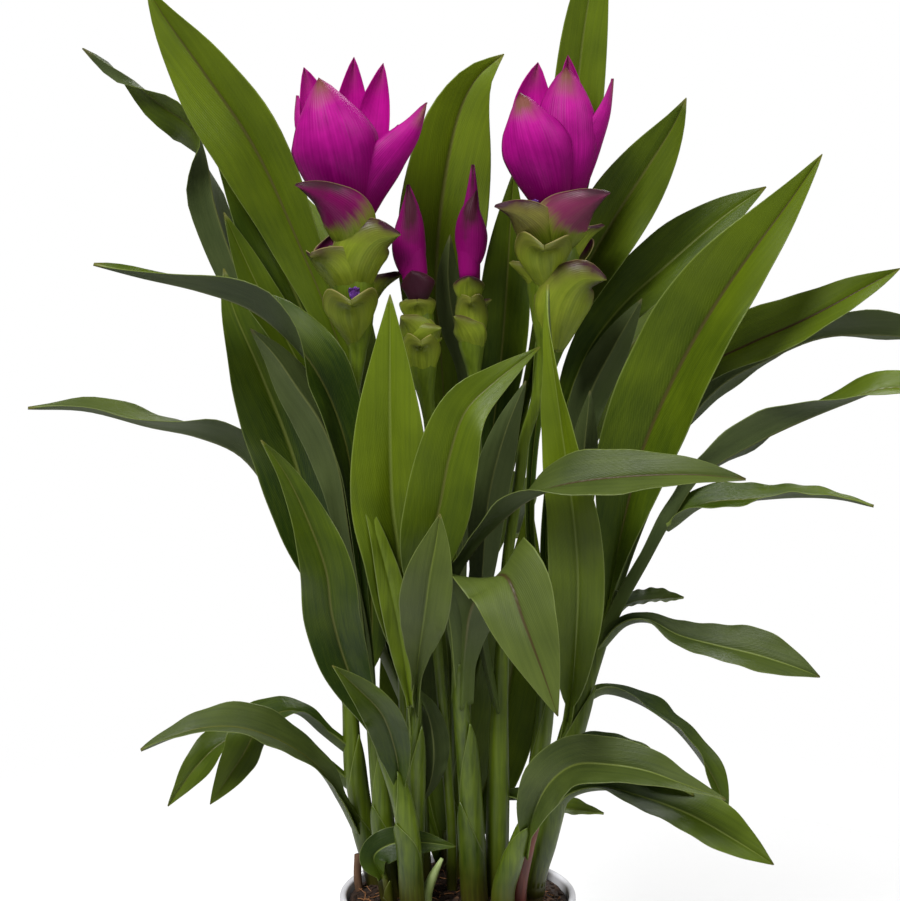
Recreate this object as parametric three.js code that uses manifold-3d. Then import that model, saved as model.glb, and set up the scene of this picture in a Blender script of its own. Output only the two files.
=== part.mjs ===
import * as THREE from 'three';
import { mergeVertices } from 'three/addons/utils/BufferGeometryUtils.js';
import Module from 'manifold-3d';

// A potted curcuma: a round white pot filled with peat, leafy false stems with long waved
// leaves, and stalks that carry green cupped bracts under a crown of pink ones.
// Millimetres, +Z up, the origin on the ground in the middle of the pot.

const wasm = await Module();
wasm.setup();

// Pot
const potHeight = 112;
const rimRadius = 61;
const footRadius = 45;
const lipThickness = 3.6;
const wallThickness = 3.4;
const potFloor = 6;
const potSides = 24;

// Soil
const soilLevel = 105;
const soilCrown = 3;
const soilGap = 0.35;
const holeGap = 0.35;
const rootDepth = 28;

// Blades
const edgeThickness = 0.9;
const tipHalfWidth = 0.7;
const leafStations = 8;
const bractStations = 4;
const cupStations = 3;
const stemSides = 6;
const bractColumns = [-1, -0.36, 0.36, 1];

// Front view that the places in the tables are read in: [across, up, depth].
// across and up lie in a plane through viewAim that is square to the line of sight,
// depth is how far the point lies behind the middle of the pot.
const viewAim = new THREE.Vector3(-4, 0, 344);
const viewDistance = 1160;
const viewDrop = THREE.MathUtils.degToRad(10);
const viewEye = new THREE.Vector3(0, -Math.cos(viewDrop), Math.sin(viewDrop))
  .multiplyScalar(viewDistance)
  .add(viewAim);

const colours = {
  pot: 0xeeedf2,
  soil: 0x2a1a12,
  leaf: 0x55702b,
  darkLeaf: 0x3a561d,
  stem: 0x6f8f26,
  scape: 0x8aa032,
  bloom: 0xb3128c,
  bud: 0x9a1a78,
  sheath: 0x8a3526,
  sprout: 0x8aa35a,
  stub: 0x4a2a1a,
};

// A point of the front view, slid along its line of sight to the given depth.
function place(across, up, depth) {
  const seen = new THREE.Vector3(across, up * Math.sin(viewDrop), up * Math.cos(viewDrop)).add(viewAim);
  const reach = (depth - viewEye.y) / (seen.y - viewEye.y);
  return viewEye.clone().lerp(seen, reach);
}

// Closed solid through a row of rings with the same number of points, capped at both ends.
// The second half of a ring runs back under the first, and its faces are split as theirs are.
function loft(rings) {
  const count = rings[0].length;
  const places = rings.flat().flatMap((point) => [point.x, point.y, point.z]);
  const faces = [];
  for (let ring = 0; ring + 1 < rings.length; ring += 1) {
    for (let side = 0; side < count; side += 1) {
      const next = (side + 1) % count;
      const a = ring * count + side;
      const b = ring * count + next;
      const c = (ring + 1) * count + next;
      const d = (ring + 1) * count + side;
      const mirrored = side >= count / 2;
      faces.push(...(mirrored ? [a, b, d, b, c, d] : [a, b, c, a, c, d]));
    }
  }
  const last = (rings.length - 1) * count;
  const rows = count / 2 - 1;
  for (let row = 0; row < rows; row += 1) {
    const mate = count - 1 - row;
    faces.push(row, mate, row + 1, row + 1, mate, mate - 1);
    faces.push(last + row, last + row + 1, last + mate, last + row + 1, last + mate - 1, last + mate);
  }
  const shape = new THREE.BufferGeometry();
  shape.setAttribute('position', new THREE.Float32BufferAttribute(places, 3));
  shape.setIndex(faces);
  return shape;
}

// Turns a closed shape into a solid that can be joined and cut.
function solid(shape) {
  const bare = shape.clone();
  bare.deleteAttribute('normal');
  bare.deleteAttribute('uv');
  const merged = mergeVertices(bare, 1e-4);
  const mesh = new wasm.Mesh({
    numProp: 3,
    vertProperties: new Float32Array(merged.attributes.position.array),
    triVerts: new Uint32Array(merged.index.array),
  });
  return new wasm.Manifold(mesh);
}

// The biggest body of a joined solid, as a shape again.
function shapeOf(joined) {
  const bodies = joined.decompose().sort((a, b) => b.volume() - a.volume());
  const mesh = bodies[0].getMesh();
  const shape = new THREE.BufferGeometry();
  shape.setAttribute('position', new THREE.Float32BufferAttribute(mesh.vertProperties, 3));
  shape.setIndex([...mesh.triVerts]);
  return shape;
}

function fuse(shapes) {
  return shapeOf(wasm.Manifold.union(shapes.map(solid)));
}

// Directions across a blade at one of its rib points: the blade lies in the picture plane with
// its upper face to the viewer at turn 0, and turns about its rib.
function acrossRib(point, along, turn) {
  const toEye = viewEye.clone().sub(point).normalize();
  const flat = along.clone().cross(toEye).normalize();
  const facing = flat.clone().cross(along).normalize();
  const angle = THREE.MathUtils.degToRad(turn);
  return flat.multiplyScalar(Math.cos(angle)).addScaledVector(facing, Math.sin(angle));
}

// Rib points, tangents and cross directions at even steps along a blade.
function ribFrames(rib, steps) {
  const curve = new THREE.CatmullRomCurve3(rib.map(([across, up, depth]) => place(across, up, depth)));
  const spans = rib.length - 1;
  const crosses = rib.map((entry, index) => {
    const t = index / spans;
    return acrossRib(curve.getPoint(t), curve.getTangent(t), entry[3]);
  });
  const frames = [];
  for (let step = 0; step <= steps; step += 1) {
    const t = curve.getUtoTmapping(step / steps);
    const span = Math.min(Math.floor(t * spans), spans - 1);
    const tangent = curve.getTangent(t);
    const cross = crosses[span].clone().lerp(crosses[span + 1], t * spans - span);
    cross.addScaledVector(tangent, -cross.dot(tangent)).normalize();
    frames.push({ point: curve.getPoint(t), cross, face: cross.clone().cross(tangent) });
  }
  return frames;
}

// Half the width of a blade at a share of its length: a narrow stalk, then a lance shape.
function halfWidth(leaf, share) {
  const stalk = leaf.stalkWidth / 2;
  if (share <= leaf.petiole) {
    return stalk;
  }
  const onBlade = (share - leaf.petiole) / (1 - leaf.petiole);
  const skew = Math.log(0.5) / Math.log(leaf.widest);
  const belly = Math.sin(Math.PI * onBlade ** skew) ** leaf.fullness;
  return (leaf.width / 2) * belly + stalk * (1 - onBlade) ** 2 + tipHalfWidth * onBlade;
}

const leafForm = {
  width: 30,
  widest: 0.45,
  fullness: 1,
  fold: 24,
  stalkFold: 50,
  wave: 2.2,
  waves: 2,
  phase: 0,
  petiole: 0.18,
  stalkWidth: 6,
  stalkThickness: 3.6,
  ribThickness: 1.4,
  stations: leafStations,
};

// A leaf: a V-folded section whose two halves rise from the rib, waved along both margins.
function leafShape(entry) {
  const leaf = { ...leafForm, ...entry };
  const frames = ribFrames(leaf.rib, leaf.stations);
  const rings = frames.map(({ point, cross, face }, index) => {
    const share = index / leaf.stations;
    const onBlade = Math.max(0, (share - leaf.petiole) / (1 - leaf.petiole));
    const half = halfWidth(leaf, share);
    const opening = THREE.MathUtils.smoothstep(share, leaf.petiole * 0.6, leaf.petiole + 0.25);
    const fold = THREE.MathUtils.degToRad(leaf.stalkFold + (leaf.fold - leaf.stalkFold) * opening);
    const ribDepth = leaf.stalkThickness + (leaf.ribThickness - leaf.stalkThickness) * opening;
    const swing = leaf.wave * Math.sin(Math.PI * onBlade) ** 0.7;
    const top = [];
    const under = [];
    for (const side of [-1, 0, 1]) {
      const ripple = Math.abs(side) * swing
        * Math.sin(2 * Math.PI * leaf.waves * onBlade + leaf.phase + side * 1.1);
      const lift = Math.abs(side) * half * Math.sin(fold) + ripple;
      const upper = point.clone()
        .addScaledVector(cross, side * half * Math.cos(fold))
        .addScaledVector(face, lift);
      const depth = side === 0 ? ribDepth : edgeThickness;
      const slope = side * fold * Math.min(1, half / 6);
      const lower = upper.clone()
        .addScaledVector(face, -depth * Math.cos(slope))
        .addScaledVector(cross, depth * Math.sin(slope));
      top.push(upper);
      under.unshift(lower);
    }
    return [...top, ...under];
  });
  return loft(rings);
}

const bractForm = {
  width: 22,
  widest: 0.5,
  fullness: 0.8,
  cup: 60,
  petiole: 0,
  stalkWidth: 12,
  stations: bractStations,
  thickness: 0.9,
};

// A bract: a cupped section, its hollow side where a leaf has its upper face.
function bractShape(entry) {
  const bract = { ...bractForm, ...entry };
  const frames = ribFrames(bract.rib, bract.stations);
  const rings = frames.map(({ point, cross, face }, index) => {
    const share = index / bract.stations;
    const half = halfWidth(bract, share);
    const cup = THREE.MathUtils.degToRad(bract.cup);
    const radius = half / cup;
    const top = [];
    const under = [];
    for (const side of bractColumns) {
      const angle = side * cup;
      const spot = (distance) => point.clone()
        .addScaledVector(face, radius - distance * Math.cos(angle))
        .addScaledVector(cross, distance * Math.sin(angle));
      top.push(spot(Math.max(radius - bract.thickness, 0.15)));
      under.unshift(spot(radius));
    }
    return [...top, ...under];
  });
  return loft(rings);
}

// A green bract of a stalk, shorter than those of a crown.
function cupShape(entry) {
  return bractShape({ stations: cupStations, ...entry });
}

// Rings of a round tube through the given points, its radius following the given radii.
function tubeRings(points, radii, steps, extra = 0) {
  const curve = new THREE.CatmullRomCurve3(points);
  const spans = points.length - 1;
  const sideways = new THREE.Vector3(1, 0, 0);
  const rings = [];
  for (let step = 0; step <= steps; step += 1) {
    const t = curve.getUtoTmapping(step / steps);
    const span = Math.min(Math.floor(t * spans), spans - 1);
    const radius = THREE.MathUtils.lerp(radii[span], radii[span + 1], t * spans - span) + extra;
    const tangent = curve.getTangent(t);
    const back = tangent.clone().cross(sideways).normalize();
    const right = back.clone().cross(tangent).normalize();
    const centre = curve.getPoint(t);
    const ring = [];
    for (let side = 0; side < stemSides; side += 1) {
      const angle = (2 * Math.PI * side) / stemSides;
      ring.push(centre.clone()
        .addScaledVector(right, -radius * Math.cos(angle))
        .addScaledVector(back, -radius * Math.sin(angle)));
    }
    rings.push(ring);
  }
  return rings;
}

function pathPoints(path) {
  return path.map(([across, up, depth]) => place(across, up, depth));
}

// A stem along [across, up, depth, radius] points, from its foot in the soil.
function stemRings({ foot, stem }, extra = 0) {
  const base = new THREE.Vector3(foot[0], foot[1], soilLevel - rootDepth);
  const radii = stem.map((entry) => entry[3]);
  return tubeRings([base, ...pathPoints(stem)], [radii[0], ...radii], stem.length, extra);
}

function stemShape(plantPiece) {
  return loft(stemRings(plantPiece));
}

// The plain hole a stem stands in: its own first rings, wider by the gap and sunk by it.
function holeShape(plantPiece) {
  const rings = stemRings(plantPiece, holeGap);
  const above = rings.findIndex((ring) => ring[0].z > soilLevel + 2 * soilCrown + holeGap);
  const sunk = rings[0].map((point) => point.clone().setZ(point.z - holeGap));
  return loft([sunk, ...rings.slice(1, above + 1)]);
}

// Leafy shoots. foot is [x, y] on the soil; stem is [across, up, depth, radius] upward from it;
// each leaf's rib is [across, up, depth, turn] from its root to its tip.
const shoots = {
  shoot_left: {
    foot: [-38, 22],
    stem: [[-36, -218, 22, 4.8], [-43, -188, 22, 5.2], [-48, -160, 20, 5.2], [-50, -128, 18, 4],
      [-52, -106, 14, 1.8]],
    leaves: [
      { rib: [[-50, -134, 18, 0], [-53, -100, 12, 0], [-61, -66, 6, 0], [-68, -38, 1, 10],
        [-80, 2, -6, 15], [-96, 42, -11, 10], [-109, 73, -14, 0], [-113, 91, -13, -10]],
      width: 40, widest: 0.5, fold: 22, petiole: 0.2, wave: 2.5 },
      { rib: [[-50, -134, 18, -40], [-57, -95, 18, -60], [-70, -58, 14, -80], [-86, -26, 8, -112],
        [-104, -2, 0, -112], [-126, 8, -12, -92], [-150, 13, -24, -80], [-182, 21, -32, -66],
        [-211, 22, -38, -60]],
      width: 25, widest: 0.55, petiole: 0.2, wave: 2.5, waves: 2.5, fold: 30 },
      { rib: [[-49, -150, 20, -60], [-62, -140, 14, -60], [-78, -130, 6, -60], [-93, -135, 0, -45],
        [-104, -153, -4, -15], [-120, -177, -8, 0]],
      width: 23, widest: 0.55, petiole: 0.15, wave: 1.2 },
      { rib: [[-46, -190, 18, -40], [-53, -176, 4, -40], [-63, -161, -8, -45], [-76, -150, -16, -50],
        [-92, -142, -22, -52], [-109, -138, -28, -52], [-126, -139, -32, -50], [-140, -143, -34, -60],
        [-155, -149, -36, -80]],
      width: 26, widest: 0.55, petiole: 0.2, wave: 1.6 },
      { rib: [[-48, -168, 22, -60], [-68, -152, 20, -70], [-90, -142, 17, -70], [-112, -145, 13, -50],
        [-126, -157, 9, 0], [-135, -169, 7, 20], [-141, -178, 5, 10]],
      width: 17, widest: 0.6, petiole: 0.2, wave: 1.4 },
    ],
  },
  shoot_left_middle: {
    foot: [-30, 0],
    stem: [[-30, -218, 0, 5.2], [-33, -190, 1, 5], [-36, -160, 0, 4.4], [-39, -128, -3, 3.4],
      [-41, -108, -6, 1.6]],
    leaves: [
      { rib: [[-39, -132, -3, -20], [-41, -100, -8, -20], [-45, -60, -14, -20], [-52, 3, -24, -25],
        [-66, 38, -30, -38], [-82, 58, -38, -70], [-100, 72, -48, -96], [-125, 81, -58, -94],
        [-155, 88, -66, -84], [-178, 94, -70, -66]],
      width: 30, widest: 0.56, petiole: 0.22, wave: 2.4, fold: 32 },
      { rib: [[-38, -134, -3, 150], [-42, -96, -8, 150], [-50, -50, -16, 155], [-57, -6, -24, 165],
        [-65, 14, -28, 170], [-77, 32, -32, 175], [-88, 48, -36, 180], [-100, 61, -39, 180]],
      width: 24, widest: 0.62, petiole: 0.3, wave: 1.5 },
    ],
  },
  shoot_front_left: {
    foot: [-20, -22],
    stem: [[-19, -222, -22, 5.6], [-21, -194, -24, 5.2], [-25, -174, -25, 4.8], [-33, -152, -25, 3.6],
      [-37, -140, -26, 1.8]],
    leaves: [
      { rib: [[-32, -156, -24, 0], [-42, -131, -28, 0], [-52, -107, -34, 5], [-59, -82, -41, 5],
        [-62, -60, -46, 0], [-71, -35, -50, -10], [-82, -12, -54, -15], [-94, 5, -60, -15]],
      width: 28, widest: 0.45, petiole: 0.1, wave: 2.2 },
      { rib: [[-24, -178, -23, 10], [-27, -152, -32, 10], [-34, -132, -44, 10], [-45, -120, -54, 0],
        [-58, -108, -66, -10]],
      width: 19, widest: 0.5, petiole: 0.1, wave: 1.2, stations: 7 },
    ],
  },
  shoot_centre: {
    foot: [-17, -4],
    stem: [[-18, -218, -5, 4.6], [-18, -190, -6, 4.6], [-18, -155, -9, 4.6], [-18, -124, -14, 3.8],
      [-19, -104, -20, 1.8]],
    leaves: [
      { rib: [[-18, -150, -10, -10], [-21, -112, -20, -12], [-24, -80, -28, -14], [-26, -50, -34, -12],
        [-29, -25, -38, 0], [-30, 14, -42, 5], [-30, 52, -42, 5], [-30, 78, -40, 0]],
      width: 42, widest: 0.5, petiole: 0.14, wave: 1.8, stalkFold: 62 },
      { rib: [[-18, -130, -14, 5], [-16, -95, -27, 10], [-13, -62, -38, 10], [-5, -27, -48, 8],
        [0, -2, -50, 5], [8, 20, -50, 10], [22, 34, -48, 15], [45, 52, -42, 10]],
      width: 33, widest: 0.42, petiole: 0.3, wave: 2 },
      { rib: [[-18, -132, -14, 0], [-16, -106, -38, 0], [-13, -84, -58, 5], [-10, -62, -69, 5],
        [-7, -46, -73, 5], [-5, -32, -74, 0]],
      width: 26, widest: 0.62, petiole: 0.2, wave: 1, stations: 7 },
      { rib: [[-17, -120, -13, 180], [-11, -132, -7, 180], [-8, -148, -5, 175], [-9, -163, -3, 175],
        [-13, -175, -1, 170]],
      width: 15, widest: 0.5, petiole: 0.05, wave: 0.6, stations: 6 },
    ],
  },
  shoot_arching: {
    foot: [12, -5],
    stem: [[12, -220, -7, 6.2], [11, -194, -9, 5.8], [8, -152, -14, 5], [5, -124, -22, 3.8],
      [5, -106, -28, 1.8]],
    leaves: [
      { rib: [[6, -128, -22, 180], [8, -96, -32, 180], [12, -76, -45, 180], [28, -63, -80, 0],
        [37, -86, -92, 0], [46, -110, -96, 0], [54, -133, -97, 0]],
      width: 38, widest: 0.52, petiole: 0.12, wave: 1.6, fold: 18, stalkWidth: 13, stalkFold: 34,
      stations: 10 },
      { rib: [[5, -124, -22, 90], [3, -92, -32, 100], [1, -66, -40, 115], [8, -53, -50, 115],
        [22, -37, -60, 110], [40, -23, -70, 85], [57, -17, -78, 55], [88, -13, -88, 32],
        [122, -12, -95, 30], [148, -14, -98, 30]],
      width: 27, widest: 0.62, petiole: 0.22, wave: 2, waves: 2.5, stations: 11 },
    ],
  },
  shoot_low: {
    foot: [-31, -13],
    stem: [[-31, -222, -13, 1.8], [-34, -206, -13, 1.6]],
    leaves: [
      { rib: [[-34, -214, -13, 0], [-38, -203, -14, 0], [-30, -197, -13.5, 0], [-14, -196, -13, 0],
        [3, -198, -14, 0]],
      width: 15, widest: 0.4, petiole: 0.05, wave: 0.4, stations: 7, fold: 12, stalkThickness: 2 },
    ],
  },
  shoot_right: {
    foot: [41, -9],
    stem: [[42, -216, -11, 5.2], [47, -196, -13, 5.6], [54, -166, -14, 6], [60, -142, -15, 5.6],
      [68, -116, -15, 4.8], [77, -90, -15, 3.6], [83, -70, -15, 1.8]],
    leaves: [
      { rib: [[57, -146, -16, 0], [61, -120, -24, 5], [63, -95, -33, 10], [64, -65, -42, 8],
        [62, -35, -49, 5], [58, -5, -52, 20], [53, 30, -52, 50], [49, 60, -48, 60], [48, 83, -44, 60]],
      width: 27, widest: 0.36, petiole: 0.1, wave: 1.2, stations: 10 },
      { rib: [[75, -98, -15, 10], [81, -65, -15, 12], [87, -35, -17, 14], [97, 2, -20, 18],
        [117, 46, -27, 20], [136, 78, -34, 20], [150, 98, -40, 18], [170, 125, -45, 12],
        [186, 148, -50, 0]],
      width: 50, widest: 0.5, petiole: 0.1, wave: 2.6, fold: 30, stations: 9 },
      { rib: [[76, -94, -14, 20], [88, -40, -6, 20], [104, 12, -4, 20], [125, 40, -8, 22],
        [149, 53, -14, 28], [172, 63, -20, 30], [190, 72, -25, 25], [208, 82, -29, 15], [225, 91, -32, 0]],
      width: 28, widest: 0.62, petiole: 0.3, wave: 2.4, waves: 2.5, stations: 9 },
      { rib: [[76, -96, -12, 140], [88, -55, 2, 140], [104, -16, 8, 140], [118, 14, 8, 140],
        [136, 34, 6, 135], [160, 47, 3, 125], [184, 57, -2, 115], [207, 59, -6, 120],
        [234, 57, -10, 125], [262, 50, -14, 120]],
      width: 29, widest: 0.62, petiole: 0.25, wave: 2.2, waves: 2.5, stations: 9 },
      { rib: [[76, -94, -16, 120], [86, -73, -20, 120], [97, -54, -25, 122], [109, -34, -30, 125],
        [126, -11, -36, 125], [151, 4, -43, 122], [176, 16, -50, 112], [198, 25, -56, 80],
        [216, 31, -61, 45], [237, 31, -66, 40], [258, 27, -70, 40]],
      width: 27, widest: 0.6, petiole: 0.22, wave: 2.2, waves: 2.5, stations: 10 },
      { rib: [[107, -38, -29, 60], [125, -27, -36, 55], [150, -24, -44, 50], [175, -22, -52, 75],
        [195, -23, -58, 80], [212, -27, -63, 60]],
      width: 17, widest: 0.36, petiole: 0.05, wave: 1.2, stations: 8, stalkWidth: 4 },
      { rib: [[80, -82, -14, 50], [90, -76, -10, 50], [102, -74, -6, 50], [117, -73, -2, 40]],
      width: 12, widest: 0.5, petiole: 0.05, wave: 0.6, stations: 5, stalkWidth: 3 },
      { rib: [[73, -100, -15, 40], [86, -86, -24, 45], [98, -84, -32, 40], [114, -92, -42, 30],
        [132, -97, -52, 30], [153, -102, -60, 30], [172, -108, -67, 25], [185, -113, -71, 15]],
      width: 24, widest: 0.62, petiole: 0.24, wave: 1.4, stations: 8 },
      { rib: [[66, -124, -14, 60], [78, -119, -6, 60], [96, -126, 0, 62], [112, -137, 5, 80],
        [124, -151, 9, 60], [133, -166, 10, 30], [139, -181, 10, 10]],
      width: 19, widest: 0.6, petiole: 0.1, wave: 1.8, waves: 1.5 },
      { rib: [[53, -166, -16, 40], [66, -150, -26, 45], [84, -151, -36, 45], [104, -161, -44, 40],
        [122, -172, -50, 35]],
      width: 18, widest: 0.5, petiole: 0.1, wave: 1, stations: 7 },
      { rib: [[49, -186, -14, 40], [59, -172, -20, 45], [76, -168, -32, 45], [96, -173, -42, 35],
        [120, -182, -52, 25], [143, -195, -59, 20], [162, -207, -64, 10]],
      width: 26, widest: 0.6, petiole: 0.22, wave: 1.6 },
    ],
  },
  shoot_front_right: {
    foot: [30, -30],
    stem: [[29, -222, -30, 5.2], [32, -208, -31, 5], [38, -188, -35, 3.8], [42, -178, -38, 1.8]],
    leaves: [
      { rib: [[37, -202, -32, 10], [41, -184, -40, 15], [50, -166, -50, 20], [63, -157, -60, 22],
        [80, -157, -68, 22], [98, -160, -74, 25], [115, -166, -79, 40], [138, -174, -83, 40]],
      width: 26, widest: 0.45, petiole: 0.1, wave: 1.4, stalkWidth: 9 },
    ],
  },
  shoot_back_left: {
    foot: [-14, 26],
    stem: [[-14, -216, 26, 5], [-17, -170, 26, 5], [-20, -128, 22, 4], [-23, -100, 20, 1.8]],
    leaves: [
      { rib: [[-20, -134, 22, 0], [-23, -95, 17, 5], [-33, -25, 12, 10], [-57, 57, 12, 14],
        [-75, 102, 16, 17], [-98, 152, 14, 17], [-123, 189, 8, 17], [-143, 217, 1, 12], [-152, 232, -3, 5]],
      width: 40, widest: 0.68, petiole: 0.34, wave: 2, stations: 9 },
      { rib: [[-20, -134, 24, 0], [-27, -80, 26, 0], [-40, -25, 27, 5], [-57, 25, 28, 5], [-76, 75, 29, 5],
        [-93, 110, 29, 5], [-108, 138, 28, 0], [-120, 158, 26, 0]],
      width: 31, widest: 0.62, petiole: 0.34, wave: 2, stations: 8 },
      { rib: [[-21, -134, 23, 0], [-34, -80, 22, 5], [-50, -20, 20, 5], [-66, 24, 18, 5], [-81, 54, 17, 5],
        [-95, 80, 16, 5], [-104, 99, 16, 0], [-113, 119, 15, 0]],
      width: 20, widest: 0.66, petiole: 0.34, wave: 1.4, stations: 8 },
      { rib: [[-20, -134, 25, 160], [-32, -90, 34, 160], [-52, -20, 42, 160], [-76, 30, 44, 165],
        [-98, 70, 44, 165], [-111, 100, 42, 160], [-119, 125, 40, 150], [-123, 145, 38, 110],
        [-129, 161, 34, 50], [-144, 172, 28, 20], [-158, 183, 22, 75], [-170, 191, 16, 140],
        [-184, 201, 10, 165]],
      width: 23, widest: 0.66, petiole: 0.3, wave: 1.4, stations: 11 },
      { rib: [[-20, -132, 22, 170], [-32, -104, 18, 170], [-45, -75, 13, 170], [-49, -52, 10, 175],
        [-52, -25, 8, 180], [-53, -3, 8, 180]],
      width: 17, widest: 0.6, petiole: 0.25, wave: 1, stations: 7 },
      { rib: [[-21, -130, 24, 180], [-27, -88, 26, 180], [-31, -58, 22, 180], [-36, -47, 16, 120],
        [-39, -68, 11, 0], [-39, -90, 9, 0], [-41, -114, 9, 0]],
      width: 20, widest: 0.66, petiole: 0.3, wave: 1, stations: 9 },
      { rib: [[-20, -134, 26, 0], [-28, -60, 46, 0], [-42, 20, 74, 0], [-62, 84, 104, 5],
        [-80, 120, 128, 0], [-96, 138, 150, 0]],
      width: 38, widest: 0.62, petiole: 0.3, wave: 2.4, stations: 6 },
      { rib: [[-20, -134, 26, -20], [-34, -70, 52, -20], [-56, -26, 90, -20], [-74, -8, 124, -20],
        [-88, -18, 156, -20]],
      width: 34, widest: 0.6, petiole: 0.3, wave: 2.4, stations: 6 },
    ],
  },
  shoot_back: {
    foot: [5, 34],
    stem: [[5, -212, 34, 5], [5, -170, 34, 5], [4, -124, 33, 4], [3, -98, 33, 1.8]],
    leaves: [
      { rib: [[4, -130, 33, 0], [2, -80, 32, 0], [0, -20, 30, 0], [-4, 40, 29, -5], [-7, 88, 28, -8],
        [-3, 133, 26, -10], [5, 170, 24, -10], [14, 187, 22, -10], [27, 198, 20, -10]],
      width: 48, widest: 0.66, petiole: 0.3, wave: 2.6, stations: 9 },
      { rib: [[4, -130, 32, 180], [6, -60, 24, 180], [8, 10, 20, 180], [9, 40, 16, 180], [2, 64, 12, 180],
        [-1, 86, 10, 180], [0, 108, 9, 180]],
      width: 15, widest: 0.72, petiole: 0.4, wave: 1, stations: 8 },
      { rib: [[5, -130, 34, 0], [12, -60, 34, 0], [20, 0, 32, 0], [25, 40, 30, 0], [28, 76, 29, 5],
        [30, 110, 28, 5], [32, 140, 27, 0]],
      width: 27, widest: 0.62, petiole: 0.34, wave: 2, stations: 8 },
      { rib: [[5, -130, 34, 0], [18, -60, 38, 0], [34, 10, 38, 0], [46, 66, 36, -5], [56, 120, 32, -5],
        [62, 165, 28, -8], [67, 210, 24, -8], [73, 245, 20, -8], [79, 270, 16, -5]],
      width: 27, widest: 0.68, petiole: 0.34, wave: 2.2, stations: 9 },
      { rib: [[4, -130, 35, 0], [2, -50, 56, 0], [-2, 30, 82, 0], [-8, 92, 108, 0], [-12, 124, 130, 0],
        [-14, 132, 152, 0]],
      width: 40, widest: 0.62, petiole: 0.3, wave: 2.4, stations: 6 },
      { rib: [[6, -130, 36, 0], [14, -70, 66, 10], [22, -30, 102, 15], [29, -28, 136, 15],
        [34, -44, 164, 10]],
      width: 36, widest: 0.6, petiole: 0.3, wave: 2.4, stations: 6 },
    ],
  },
  shoot_back_low: {
    foot: [0, 46],
    stem: [[0, -208, 46, 4.6], [0, -190, 46, 4]],
    leaves: [
      { rib: [[-2, -204, 46, 0], [-12, -176, 53, 0], [-17, -138, 59, 0], [-18, -90, 61, 0],
        [-18, -48, 60, 0], [-18, -12, 58, 0]],
      width: 36, widest: 0.45, petiole: 0.05, wave: 1.4, stations: 7, stalkWidth: 14,
        stalkFold: 30 },
      { rib: [[2, -204, 46, 0], [14, -178, 51, 0], [25, -140, 53, 0], [33, -96, 53, 0],
        [38, -56, 51, 0], [40, -24, 49, 0]],
      width: 36, widest: 0.45, petiole: 0.05, wave: 1.4, phase: 1.5, stations: 7, stalkWidth: 14,
        stalkFold: 30 },
      { rib: [[0, -202, 48, 0], [2, -170, 58, 0], [5, -130, 66, 0], [6, -92, 78, 0], [2, -74, 98, 0],
        [-6, -86, 122, 0]],
      width: 38, widest: 0.45, petiole: 0.05, wave: 2, stalkWidth: 14, stalkFold: 30, stations: 6 },
    ],
  },
  shoot_back_right: {
    foot: [33, 18],
    stem: [[36, -214, 18, 4.4], [41, -175, 15, 4.4], [46, -136, 12, 4.2], [49, -95, 10, 3.4],
      [52, -76, 8, 1.6]],
    leaves: [
      { rib: [[49, -100, 10, 180], [56, -70, 2, 180], [63, -42, -6, 180], [66, -12, -12, 180],
        [68, 10, -14, 180], [70, 30, -15, 180]],
      width: 15, widest: 0.62, petiole: 0.25, wave: 0.8, stations: 7 },
      { rib: [[49, -100, 11, 180], [56, -50, 10, 180], [63, 0, 10, 180], [70, 28, 10, 180],
        [82, 52, 9, 180], [96, 76, 8, 180]],
      width: 20, widest: 0.66, petiole: 0.3, wave: 1, stations: 7 },
      { rib: [[49, -100, 12, 10], [48, -40, 20, 10], [55, 10, 25, 12], [67, 46, 27, 15], [84, 70, 27, 18],
        [110, 94, 25, 20], [138, 118, 22, 20], [158, 132, 20, 10]],
      width: 32, widest: 0.66, petiole: 0.32, wave: 2.2, stations: 9 },
      { rib: [[48, -100, 11, 0], [40, -40, 16, 0], [44, 20, 21, 5], [52, 58, 22, 5], [66, 88, 21, 5],
        [84, 119, 15, 5], [99, 142, 8, 5], [112, 163, 2, 5], [118, 176, -2, 0]],
      width: 35, widest: 0.66, petiole: 0.34, wave: 2.2, stations: 9 },
      { rib: [[49, -100, 13, 10], [56, -40, 40, 10], [72, 18, 70, 15], [92, 54, 100, 15],
        [112, 72, 126, 15], [130, 76, 148, 10]],
      width: 36, widest: 0.62, petiole: 0.3, wave: 2.4, stations: 6 },
    ],
  },
};

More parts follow.
